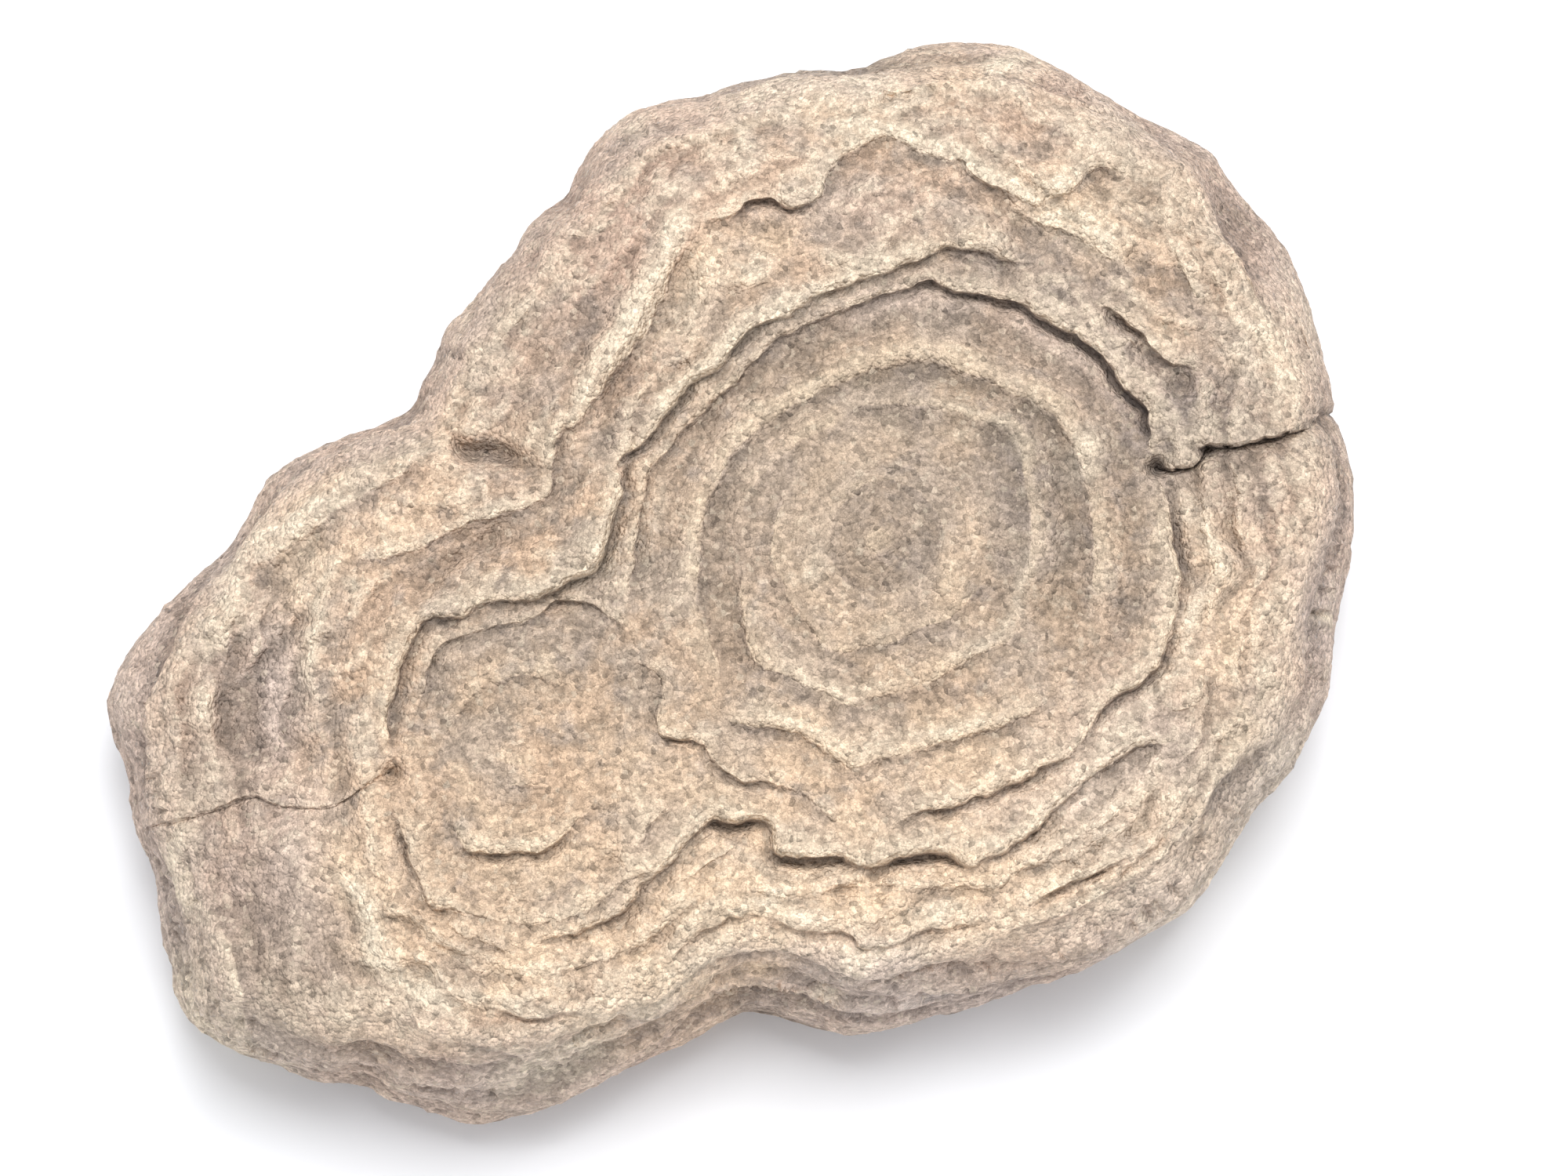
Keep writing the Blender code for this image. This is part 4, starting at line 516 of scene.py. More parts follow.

# The same along lines, such as pale crests, grey troughs and the painted shade along hollows:
# (points, half width, strength).
GREY_STREAKS = (
    (OUTER_TROUGH, 2.6, 0.4),
    (INNER_TROUGH, 2.2, 0.51),
    (((9.8, 8), (11.4, 12.4), (16, 14.6), (21, 12.6), (22.8, 8), (21, 3), (16, 1.4), (11.4, 3.4),
        (9.8, 8)), 2.4, 0.61),
    (((34, -3), (35.6, 6), (35, 14), (32, 20.6), (24, 23.6)), 2.4, 0.45),
    (((-38, -18), (-45, -20), (-50, -26), (-50.6, -33)), 2.0, 0.32),
    (((-54, -34), (-50, -44), (-42, -46.6), (-34, -44), (-28, -38)), 1.8, 0.26),
)
YELLOW_STREAKS = (
    (((-15, 9), (-13.4, 15), (-8, 24.6), (3, 31.6), (10, 34.6), (15, 36.6), (20, 38), (25.4, 37.4),
        (30.4, 35.8), (36, 33), (43, 29.6), (47, 25.2), (49, 22)), 2.2, 0.5),
    (((-5, 16.6), (-2, 21.8), (5, 26.6), (13, 30.2)), 1.3, 0.5),
    (((16, 22), (8, 20), (2.4, 13), (2, 5), (7, -3), (15, -5.6), (23.6, -3), (29, 3.4), (30, 11),
        (25, 19)), 3.2, 0.84),
    (((-53, -26), (-48.6, -35), (-42, -38.4), (-35.6, -36)), 2.2, 0.77),
    (((-8.6, -20), (0, -20.4), (8, -24.4), (17, -24.6), (30, -20.6), (40, -16.4)), 1.8, 0.7),
    (((-3, -10), (4, -14.6), (11, -16.6), (20, -14), (32, -8)), 1.6, 0.7),
)
# Dark streaks are painted shade along hollows and below the edges of ledges and rings.
DARK_STREAKS = (
    (LEFT_HOLLOW, 1.6, 0.32),
    (NOTCH_HOLLOW, 1.2, 0.36),
    (((-43, 7.2), (-50, 6.3), (-57, 1), (-61, -1.8)), 1.6, 0.24),
    (BACK_HOLLOW, 2.4, 0.22),
    (SHOULDER_HOLLOW, 2.4, 0.22),
    (((-15, 54), (-19, 46), (-22, 40), (-27, 34)), 1.6, 0.1),
    (((-20, -21), (-19, -25), (-12, -28), (-6, -31.6), (2, -33)), 1.4, 0.2),
    (((-6, -10), (2, -16), (10, -20.4), (20, -18), (31, -12)), 1.3, 0.2),
    (((-10, -21.6), (0, -24.4), (9, -30), (17, -28.8), (30, -25)), 1.4, 0.24),
    (RIGHT_HOLLOW, 1.3, 0.27),
    (((-70.4, 3), (-66, 4), (-59, 4.6)), 1.1, 0.24),
    (((-74, 11.2), (-70, 13.2), (-65, 16.2), (-61, 19.2)), 1.1, 0.24),
    (CORNER_HOLLOW, 2.0, 0.17),
    (((55.4, 62.4), (60.4, 58.4), (63.2, 53.4), (65.8, 48)), 1.1, 0.2),
)
PALE_STREAKS = (
    (((85, -20), (79, -31), (72, -42), (63, -52.6), (52, -60.4)), 4.5, 0.45),
    (((-97, -56), (-94.4, -66), (-88, -72.6), (-80, -75)), 4.0, 0.8),
    (((-49, -80), (-39, -78), (-31, -73.4), (-25, -70)), 3.5, 0.7),
    (((-79, 8), (-75, 4), (-78, -4)), 3.5, 0.3),
    (((12, 72), (17.5, 73.4), (22.5, 70.8), (28.3, 69.6), (30.6, 67.2), (36, 64.8), (40.4, 62.8),
        (45, 65), (49.6, 68.3)), 1.5, 0.8),
    (((-12.1, 60.4), (-15.8, 59.2), (-18.3, 57.5), (-20, 53.3), (-21.7, 49.2), (-24.6, 42.9),
        (-27.5, 39.2), (-30, 35), (-31.7, 31.3)), 1.7, 0.75),
    (((-70, 6.7), (-72.4, 4.5), (-73.8, -0.4), (-75, -8.3), (-76.3, -14.2), (-74.6, -18.8)), 1.2, 0.75),
    (((-66.7, 16), (-77.5, 10.4), (-85.4, 3.8), (-89.2, -5), (-91.3, -11.3)), 1.7, 0.55),
    (((-93.3, -15), (-92.9, -19.6), (-93.3, -22.9)), 1.3, 0.55),
    (((-7.5, -49.2), (-1.7, -50.4), (5.8, -52.5)), 1.1, 0.8),
    (((13.3, -54.6), (19.2, -52.9), (23.3, -51.3), (27.5, -50.8), (31.7, -51.7)), 1.2, 0.7),
    (((-49.6, -65.4), (-45, -66.2), (-41.7, -66.3)), 1.2, 0.7),
    (((-26.7, -67.2), (-19, -64.4), (-16.5, -61), (-10.8, -56.4), (-5.8, -52.4)), 1.0, 0.5),
    (((63.8, 17), (66.3, 9.6), (69.6, 2.9), (65, -4.2), (63.3, -11.7), (57.5, -18.8), (50.4, -25.8),
        (47.1, -27.9)), 1.6, 0.55),
    (((-73, -45), (-68.5, -47.5), (-66.4, -51.3), (-65.8, -56), (-64.6, -59.6), (-62, -61.8), (-55, -66),
        (-48.5, -69)), 1.9, 0.9),
    (((-94.8, -36.5), (-96.2, -44.2), (-95, -48.8), (-91.2, -54.2)), 1.2, 0.75),
    (((-91.2, -54.2), (-88, -61), (-86, -67.9), (-81, -73.8)), 0.8, 0.5),
    (((-13, 75.4), (-4, 77.2), (6, 78), (14, 79.4), (21, 79.8)), 1.4, 0.5),
    (((38, 62), (43, 59.8), (48, 57), (54, 53)), 2.2, 0.75),
    (((-26.7, 18), (-27.3, 12), (-28.9, 5.4), (-31.5, 2.8), (-35, 0.6), (-41, -1.2)), 1.2, 0.5),
    (((-22, 24), (-16.6, 31.4), (-11, 36.6), (-4.8, 42.4), (2.1, 45.8), (10.8, 49.6), (19.2, 53.4),
        (27, 55)), 1.8, 0.55),
    (((23, 29.4), (30, 27.9), (36.4, 25.2), (38.6, 19)), 0.8, 0.4),
    (((39.4, 9), (38.2, 2), (36.8, -4), (33, -8), (29, -10.4), (24.6, -13.2)), 1.1, 0.5),
    (((-4.4, -9), (0, -12.2), (5, -14.8), (10, -16.6), (16, -15), (21, -14.6)), 1.1, 0.45),
    (((-8.6, -18.6), (0, -20.4), (6, -23.2), (10, -25.6), (18, -24.2), (28, -22.2), (38, -18.4)), 1.2,
        0.45),
    (((-52.4, -35), (-49.6, -40.2), (-43.3, -41), (-37.4, -40), (-33, -35.8)), 1.0, 0.4),
    (((-10, -40), (-2, -45.4), (8, -45.6), (14, -46.8)), 1.0, 0.35),
    (((61, -50.5), (56, -53), (50, -56.6)), 0.9, 0.3),
    (((60, 57), (63.4, 52), (66, 47), (70.6, 42.4)), 1.1, 0.35),
    (((-56, 33), (-53.6, 37), (-51.6, 42), (-47, 47)), 1.0, 0.35),
    (((-84.6, 0), (-86.4, -5), (-86, -9)), 1.0, 0.5),
)


def smooth_line(points, step, closed=False):
    """Points about step apart on a smooth curve through the given ones, which stay on it."""
    given = [np.array(p, float) for p in points]
    count = len(given)
    pieces = count if closed else count - 1
    line = []
    for i in range(pieces):
        if closed:
            a, b, c, d = (given[(i + k) % count] for k in (-1, 0, 1, 2))
        else:
            a, b, c, d = (given[min(max(i + k, 0), count - 1)] for k in (-1, 0, 1, 2))
        parts = max(1, round(float(np.linalg.norm(c - b)) / step))
        for part in range(parts):
            t = part / parts
            line.append(0.5 * (2 * b + (c - a) * t + (2 * a - 5 * b + 4 * c - d) * t * t
                               + (3 * b - a - 3 * c + d) * t ** 3))
    if not closed:
        line.append(given[-1])
    return np.array(line)


def shifts(spots, size, cut):
    """Uneven moves of up to 1 in both directions, which change over the given size, from the slice
    of the noise at cut."""
    moves = [noise.noise_vector(Vector((u, v, cut)) / size) for u, v in spots]
    return np.array([(move.x, move.y) for move in moves])


def broken_line(points, closed=False):
    """The line of a layer's edge, nicked and chipped to each side as broken rock is."""
    line = smooth_line(points, LEDGE_STEP, closed)
    return (line + NICK_DEPTH * shifts(line, NICK_SIZE, NICK_SLICE)
            + CHIP_DEPTH * shifts(line, CHIP_SIZE, CHIP_SLICE))


def measure(line, spots, closed=False):
    """For each spot: how far it is from the line, which side it is on (1 at the left as one
    walks along it), and how far along the line its nearest point is, from 0 to 1."""
    parts = [measure_few(line, spots[i:i + SPOTS_AT_ONCE], closed)
             for i in range(0, len(spots), SPOTS_AT_ONCE)]
    if not parts:
        return np.zeros(0), np.zeros(0), np.zeros(0)
    return tuple(np.concatenate([part[k] for part in parts]) for k in range(3))


def measure_few(line, spots, closed):
    """What measure says, for as many spots as fit into memory at once."""
    starts = line if closed else line[:-1]
    ends = np.roll(line, -1, axis=0) if closed else line[1:]
    runs = ends - starts
    lengths = np.linalg.norm(runs, axis=1)
    before = np.concatenate([[0.0], np.cumsum(lengths)[:-1]])
    across = spots[:, None, 0] - starts[None, :, 0]
    upward = spots[:, None, 1] - starts[None, :, 1]
    along = np.clip((across * runs[:, 0] + upward * runs[:, 1]) / lengths ** 2, 0, 1)
    distance = np.hypot(across - along * runs[:, 0], upward - along * runs[:, 1])
    nearest = distance.argmin(axis=1)
    rows = np.arange(len(spots))
    cross = runs[nearest, 0] * upward[rows, nearest] - runs[nearest, 1] * across[rows, nearest]
    place = (before[nearest] + along[rows, nearest] * lengths[nearest]) / lengths.sum()
    return distance[rows, nearest], np.where(cross >= 0, 1.0, -1.0), place


def measure_from(place, spots):
    """How far the spots are from a place on the sheet."""
    return np.hypot(spots[:, 0] - place[0], spots[:, 1] - place[1])


def near_line(spots, line, margin):
    """Which spots are within the margin of a line's box."""
    low, high = line.min(axis=0) - margin, line.max(axis=0) + margin
    return np.flatnonzero(((spots > low) & (spots < high)).all(axis=1))


def ease(value):
    """0 below nought, 1 above one, and a smooth rise between."""
    t = np.clip(value, 0, 1)
    return t * t * (3 - 2 * t)


def fade_at_ends(place, line, over=END_FADE):
    """1 along the middle of an open line, falling to almost 0 at both its ends."""
    length = float(np.linalg.norm(np.diff(line, axis=0), axis=1).sum())
    ends = np.minimum(place, 1 - place) * length
    return ease(ends / min(over, length / 3) + END_SHARE)


def unevenness(spots, size, height, cut):
    """Gentle lumps of the given size and height, from the slice of the noise at cut."""
    return np.array([height * noise.noise(Vector((u / size, v / size, cut))) for u, v in spots])


def carve(spots):
    """What the ledges, ridges, lumps and cracks do at each spot: how much they add to its height,
    and how far it is a lip, at the foot of a ledge, in a gap, and near a broken edge. The lip is
    painted paler, partly as paler rock and partly as a painted highlight; the foot and the gap are
    painted shade."""
    rise, lip, foot, gap = (np.zeros(len(spots)) for _ in range(4))
    bands = np.full(len(spots), BAND_REACH)
    steps = np.zeros(len(spots))
    wander = unevenness(spots, *LAMINA_WANDER)
    vigour = unevenness(spots, *LEDGE_VIGOUR)
    opened, widened = open_gaps(spots)
    for ledge in BACK_LEDGES + FRONT_LEDGES + SIDE_LEDGES + DOME_LEDGES:
        line = broken_line(ledge.points, ledge.closed)
        near = near_line(spots, line, max(BAND_REACH, 4 * ledge.reach))
        distance, side, place = measure(line, spots[near], ledge.closed)
        high = side if ledge.high == "left" else -side
        strength = 1.0 if ledge.closed else fade_at_ends(place, line)
        strength = strength * (1 + vigour[near])
        worn = 1 - np.exp(-distance / ledge.worn)
        rise[near] += strength * ledge.step / 2 * np.exp(-distance / ledge.reach) * high * worn
        width = GAP_WIDTH + GAP_WIDENS * widened[near]
        notch = np.exp(-((distance - width * GAP_MIDDLE) / width) ** 2) * (high < 0)
        depth = strength * (CREVICE_SHARE * ledge.crevice + opened[near] * (ledge.crevice > 0))
        rise[near] -= depth * notch
        hollow = np.exp(-(distance / FOOT_WIDTH) ** 2) * (high < 0)
        rise[near] -= strength * ledge.step * FOOT_DEPTH * hollow * worn
        share = np.minimum(1, strength * ledge.step / LIP_STEP)
        # lip marks the paler rock and painted highlight on a step's high side, foot the painted shade
        # below the step.
        for mark, reach, there in ((lip, LIP_REACH, high > 0), (foot, FOOT_REACH, high < 0)):
            mark[near] = np.maximum(mark[near], share * np.exp(-distance / reach) * there)
        # The painted shade deep in the crevice.
        gap[near] = np.maximum(gap[near], np.minimum(1, depth / GAP_FULL) * notch)
        closer = distance < bands[near]
        chosen = near[closer]
        bands[chosen] = distance[closer]
        turns = distance[closer] * high[closer] / LAMINA_PITCH + wander[chosen]
        fade = np.exp(-distance[closer] / LAMINA_REACH) * ease(distance[closer] - 1)
        steps[chosen] = (0.5 - turns % 1) * fade * min(1.0, ledge.step / LAMINA_STEP)
    rise += LAMINA_RISE * steps
    for points, height, width in RIDGES:
        line = broken_line(points)
        near = near_line(spots, line, 3 * width)
        distance, _, place = measure(line, spots[near])
        strength = fade_at_ends(place, line)
        rise[near] += strength * height * np.exp(-(distance / width) ** 2)
    for u, v, height, width in LUMPS + (CRACK_HOLE,):
        away = measure_from((u, v), spots)
        rise += height * np.exp(-(away / width) ** 2)
    # The crack's hole and the cracks get painted shade too.
    hole = measure_from(CRACK_HOLE, spots) / CRACK_HOLE[3]
    gap = np.maximum(gap, np.exp(-hole ** 2))
    for crack in CRACKS:
        line = broken_crack(crack)
        near = near_line(spots, line, CRACK_NEAR)
        distance, side, place = measure(line, spots[near])
        strength = ease(place * CRACK_FADE + CRACK_START)
        rise[near] += strength * crack.step / 2 * side * np.exp(-distance / CRACK_REACH)
        cut = strength * (1 + vigour[near]) * np.exp(-(distance / crack.width) ** 2)
        rise[near] -= crack.depth * cut
        gap[near] = np.maximum(gap[near], np.minimum(1, crack.depth / GAP_FULL) * cut)
    return np.maximum(rise, -DEEPEST_HOLE), lip, foot, gap, bands


def terraces(spots, inward):
    """The height of the steps in which the layers between the rim and the outline end."""
    rim = smooth_line(RIM_LOOP, OUTLINE_STEP, closed=True)
    beyond = measure(rim, spots, closed=True)[0]
    beyond[are_inside(spots, rim)] = 0
    share = beyond / np.maximum(beyond + inward, 0.1)
    wander = unevenness(spots, *TERRACE_WANDER) + unevenness(spots, *TERRACE_SWAY)
    vigour = TERRACE_STRENGTH + unevenness(spots, *TERRACE_VIGOUR)
    vigour = np.clip(vigour, TERRACE_LEAST, TERRACE_MOST)
    outer_high = np.tanh((spots[:, 1] - STEP_LEVEL - STEP_LEAN * spots[:, 0]) / STEP_TURN)
    height = np.zeros(len(spots))
    for number, full in ((TERRACES, TERRACE_HEIGHT), (FINE_TERRACES, FINE_HEIGHT)):
        turn = (number * share + wander * math.sqrt(number / TERRACES)) % 1
        turn = np.where(outer_high > 0, turn, 1 - turn)
        fall = 0.5 - turn
        rise = (turn - 1) / TERRACE_EDGE * (1 - TERRACE_EDGE) + 0.5
        height += full * np.where(turn < 1 - TERRACE_EDGE, fall, rise)
    middle = ease(share * TERRACE_FADE) * ease((1 - share) * TERRACE_FADE)
    return height * vigour * np.abs(outer_high) * middle


def open_gaps(spots):
    """How much deeper the crevices near each spot are than their ledges say, and how wide."""
    opened, widened = np.zeros(len(spots)), np.zeros(len(spots))
    for points, depth, width in DEEP_GAPS:
        line = smooth_line(points, LEDGE_STEP)
        near = near_line(spots, line, 3 * GAP_AROUND)
        distance, _, place = measure(line, spots[near])
        share = fade_at_ends(place, line, GAP_FADE) * np.exp(-(distance / GAP_AROUND) ** 4)
        opened[near] = np.maximum(opened[near], depth * share)
        widened[near] = np.maximum(widened[near], width * share)
    return opened, widened


def broken_crack(crack):
    """The line of a crack, with small kinks in it."""
    line = smooth_line(crack.points, LEDGE_STEP)
    return line + KINK_DEPTH * shifts(line, CHIP_SIZE, KINK_SLICE)


def shoulder_width(spots):
    """How wide the rounded side is near each spot."""
    total = np.zeros(len(spots))
    weights = np.zeros(len(spots))
    for u, v, width in SHOULDERS:
        away = (spots[:, 0] - u) ** 2 + (spots[:, 1] - v) ** 2
        weight = 1 / (1 + away / SHOULDER_BLEND) ** 2
        total += weight * width
        weights += weight
    return total / weights


def lay(u, v, height):
    """The place in the stone's own frame of a point seen at (u, v) on the sheet."""
    up = height - SHEET_LEVEL
    sine, cosine = math.sin(EYE_ELEVATION), math.cos(EYE_ELEVATION)
    y = v * (SHEET_DISTANCE - up * sine) - SHEET_DISTANCE * up * cosine
    y = y / (SHEET_DISTANCE * sine - v * cosine)
    x = u * (SHEET_DISTANCE + y * cosine - up * sine) / SHEET_DISTANCE
    return np.stack([x + SHEET_CENTRE[0], y + SHEET_CENTRE[1], height], axis=-1)


def upper_place(spots, outline):
    """The places of spots of the sheet in the stone's own frame, and what is on the rock there."""
    u, v = spots[:, 0], spots[:, 1]
    inward, _, place = measure(outline, spots, closed=True)
    top = TOP_LEVEL + TOP_TILT * v
    top += BACK_RISE * ease((v - BACK_FROM) / BACK_OVER)
    top -= LEFT_DROP * ease((-u - LEFT_FROM) / LEFT_OVER)
    top -= EDGE_ROLL * np.exp(-inward / EDGE_REACH)
    top += unevenness(spots, *TOP_LUMPS)
    top += unevenness(spots, *TOP_RIPPLES)
    rim = RIM_LEVEL + RIM_TILT * v
    power = ROUNDING + ROUNDING_TILT * v
    turn = 1 - np.clip(inward / shoulder_width(spots), 0, 1)
    height = rim + (top - rim) * (1 - turn ** power) ** (1 / power)
    rise, lip, foot, gap, bands = carve(spots)
    height += (rise + terraces(spots, inward)) * ease(inward / EDGE_FADE)
    tree = kdtree.KDTree(len(outline))
    for i, (x, y) in enumerate(outline):
        tree.insert((x, y, 0), i)
    tree.balance()
    nearest = [tree.find((x, y, 0))[1] for x, y in spots]
    outward = normals_of(outline, NORMAL_SPREAD)[nearest]
    share = RIM_SHARE * turn + 4 * (1 - RIM_SHARE) * turn * (1 - turn)
    marks = {"lip": lip, "foot": foot, "gap": gap, "bands": bands,
             "wall": ease((turn - WALL_FROM) / WALL_OVER)}
    return stand_out(lay(u, v, height), outward, share), marks


def normals_of(loop, spread):
    """Unit vectors that point out of a clockwise loop, taken over spread points to each side."""
    ahead = sum(np.roll(loop, -k, axis=0) for k in range(1, spread + 1))
    behind = sum(np.roll(loop, k, axis=0) for k in range(1, spread + 1))
    run = ahead - behind
    outward = np.stack([-run[:, 1], run[:, 0]], axis=1)
    return outward / np.linalg.norm(outward, axis=1)[:, None]


def ledge_rows():
    """For each ledge and crack, the rows of points that draw it: its lip and its foot, joined
    along the row, and looser rows to each side."""
    for ledge in BACK_LEDGES + FRONT_LEDGES + SIDE_LEDGES + DOME_LEDGES:
        line = broken_line(ledge.points, ledge.closed)
        sign = 1.0 if ledge.high == "left" else -1.0
        yield line, ledge.closed, [s * sign for s in LIP_ROWS], [s * sign for s in LOOSE_ROWS]
    for crack in CRACKS:
        edge = crack.width + CRACK_EDGE
        yield broken_crack(crack)[:-1], False, [edge, 0.0, -edge], [edge / 2, -edge / 2]


def row_beside(line, closed, offset):
    """The line moved sideways: to the left for an offset above nought."""
    ahead = np.roll(line, -1, axis=0) if closed else np.vstack([line[1:], 2 * line[-1:] - line[-2:-1]])
    behind = np.roll(line, 1, axis=0) if closed else np.vstack([2 * line[:1] - line[1:2], line[:-1]])
    run = ahead - behind
    left = np.stack([-run[:, 1], run[:, 0]], axis=1)
    left /= np.linalg.norm(left, axis=1)[:, None]
    return line + left * offset


def inside_line(outline, share):
    """The outline drawn in by a share of the shoulder's width, point for point."""
    return outline - normals_of(outline, NORMAL_SPREAD) * (share * shoulder_width(outline))[:, None]


def are_inside(spots, loop):
    """Which spots are inside a loop of points."""
    following = np.roll(loop, -1, axis=0)
    crossings = np.zeros(len(spots), int)
    for (ax, ay), (bx, by) in zip(loop, following):
        if ay != by:
            spans = (ay > spots[:, 1]) != (by > spots[:, 1])
            crossings += spans & (spots[:, 0] < (bx - ax) * (spots[:, 1] - ay) / (by - ay) + ax)
    return crossings % 2 == 1


def top_net(border):
    """The net of the top on the sheet, inside its border: its points and its triangles."""
    points = [tuple(p) for p in border]
    edges = []
    for line, closed, joined, loose in ledge_rows():
        for offset in joined + loose:
            row = row_beside(line, closed, offset)
            clear = measure(border, row, closed=True)[0] > BORDER_CLEARANCE
            clear &= are_inside(row, border)
            kept = {}
            for i in np.flatnonzero(clear):
                kept[int(i)] = len(points)
                points.append(tuple(row[i]))
            if offset in joined:
                last = len(row) if closed else len(row) - 1
                edges += [(kept[i], kept[(i + 1) % len(row)]) for i in range(last)
                          if i in kept and (i + 1) % len(row) in kept]
    points += fill_points(border, points, FILL_STEP, FILL_CLEARANCE)
    corners = list(range(len(border)))
    found = delaunay_2d_cdt([Vector(p) for p in points], edges, [corners[::-1]], 1, MERGE_GAP)
    return np.array([tuple(p) for p in found[0]]), found[2]


def fill_points(border, taken, step, clearance):
    """Points of a slightly uneven grid, wherever the net has none near."""
    low, high = border.min(axis=0), border.max(axis=0)
    spots = []
    for row, v in enumerate(np.arange(low[1], high[1], step * math.sqrt(0.75))):
        for u in np.arange(low[0] + (row % 2) * step / 2, high[0], step):
            shift = noise.noise_vector(Vector((u, v, FILL_SLICE)) * FILL_CHANGE)
            spots.append((u + FILL_SHIFT * step * shift.x, v + FILL_SHIFT * step * shift.y))
    spots = np.array(spots)
    spots = spots[are_inside(spots, border)]
    tree = kdtree.KDTree(len(taken))
    for i, (u, v) in enumerate(taken):
        tree.insert((u, v, 0), i)
    tree.balance()
    return [(u, v) for u, v in spots if tree.find((u, v, 0))[2] > clearance]


def side_relief(place):
    """How far the side stands out at a place: lumps, and the worn ends of the layers."""
    lump = noise.noise(Vector((place.x, place.y, place.z * SIDE_LUMP_FLATNESS)) / SIDE_LUMP_SIZE)
    layers = place.z / SIDE_LAYER_PITCH + SIDE_WANDER * noise.noise(place / SIDE_WANDER_SIZE)
    bulge = math.sqrt(abs(math.sin(math.pi * layers))) - 0.5
    thin = place.z / SIDE_LAMINA_PITCH
    thin += SIDE_LAMINA_WANDER * noise.noise(place / SIDE_LAMINA_WANDER_SIZE)
    worn = SIDE_WEAR + SIDE_WEAR_CHANGE * noise.noise(place / SIDE_WEAR_SIZE)
    tooth = min(thin % 1 / (1 - SIDE_LAMINA_EDGE), (1 - thin % 1) / SIDE_LAMINA_EDGE) - 0.5
    return SIDE_LUMP * lump + SIDE_LAYER * bulge + SIDE_LAMINA_DEPTH * worn * tooth


def stand_out(row, outward, share):
    """A row of the side, moved out and in by the side's relief, of which it takes a share."""
    relief = np.array([side_relief(Vector(p)) for p in row])
    row = row.copy()
    row[:, :2] += outward * (share * relief)[:, None]
    return row


def upper_rows(outline):
    """Rows of points from under the border of the top down to the stone's rim."""
    steepest = math.asin((1 - BORDER_SHARE) ** (ROUNDING / 2))
    for row in range(1, UPPER_ROWS + 1):
        turn = steepest + (math.pi / 2 - steepest) * row / UPPER_ROWS
        share = 1 - math.sin(turn) ** (2 / ROUNDING)
        yield upper_place(inside_line(outline, share), outline)


def lower_rows(rim, outline):
    """Rows of points from the stone's rim down to the edge of its flat underside."""
    outward = normals_of(rim[:, :2], NORMAL_SPREAD)
    smooth = sum(np.roll(rim[:, :2], k, axis=0) for k in range(-NORMAL_SPREAD, NORMAL_SPREAD + 1))
    smooth = smooth / (2 * NORMAL_SPREAD + 1)
    inset = BASE_INSET + BASE_INSET_BACK * outward[:, 1] - BASE_INSET_SIDES * np.abs(outward[:, 0])
    inset += NOTCH_DEPTH * np.exp(-(measure_from(NOTCH, outline) / NOTCH_WIDTH) ** 2)
    foot = np.column_stack([smooth - outward * inset[:, None], np.zeros(len(rim))])
    down = np.column_stack([outward * (outward[:, 1] * math.cos(EYE_ELEVATION))[:, None],
                            np.full(len(rim), -math.sin(EYE_ELEVATION))])
    upper = np.column_stack([smooth, rim[:, 2]]) + down * rim[:, 2:] * BELLY_DROP
    lower = foot + np.column_stack([outward * FOOT_BULGE, np.full(len(rim), FOOT_BULGE_LEVEL)])
    for row in range(1, LOWER_ROWS + 1):
        t = row / (LOWER_ROWS + 1)
        place = ((1 - t) ** 3 * rim + 3 * (1 - t) ** 2 * t * upper
                 + 3 * (1 - t) * t * t * lower + t ** 3 * foot)
        begun, left = ease(ROWS_FADE * t), ease(ROWS_FADE * (1 - t))
        share = (RIM_SHARE + (1 - RIM_SHARE) * begun) * left
        place[:, :2] -= outward * (SIDE_HOLD * begun * left)
        yield stand_out(place, outward, share)
    yield foot


def cover(patches, spots):
    """How far soft patches cover each spot, from 0 to 1, with uneven edges."""
    moved = spots + PATCH_SHIFT * shifts(spots, PATCH_EDGE, PATCH_SLICE)
    total = np.zeros(len(spots))
    for u, v, wide, high, lean, strength in patches:
        turn = math.radians(lean)
        across, upward = moved[:, 0] - u, moved[:, 1] - v
        along = (across * math.cos(turn) + upward * math.sin(turn)) / wide
        beside = (upward * math.cos(turn) - across * math.sin(turn)) / high
        total = np.maximum(total, strength * np.exp(-(along ** 2 + beside ** 2) * PATCH_FALL))
    return total


def streaked(streaks, spots):
    """How far soft streaks cover each spot."""
    total = np.zeros(len(spots))
    for points, width, strength in streaks:
        line = broken_line(points)
        near = near_line(spots, line, 3 * width)
        distance, _, place = measure(line, spots[near])
        strength = strength * fade_at_ends(place, line)
        total[near] = np.maximum(total[near], strength * np.exp(-(distance / width) ** 2))
    return total


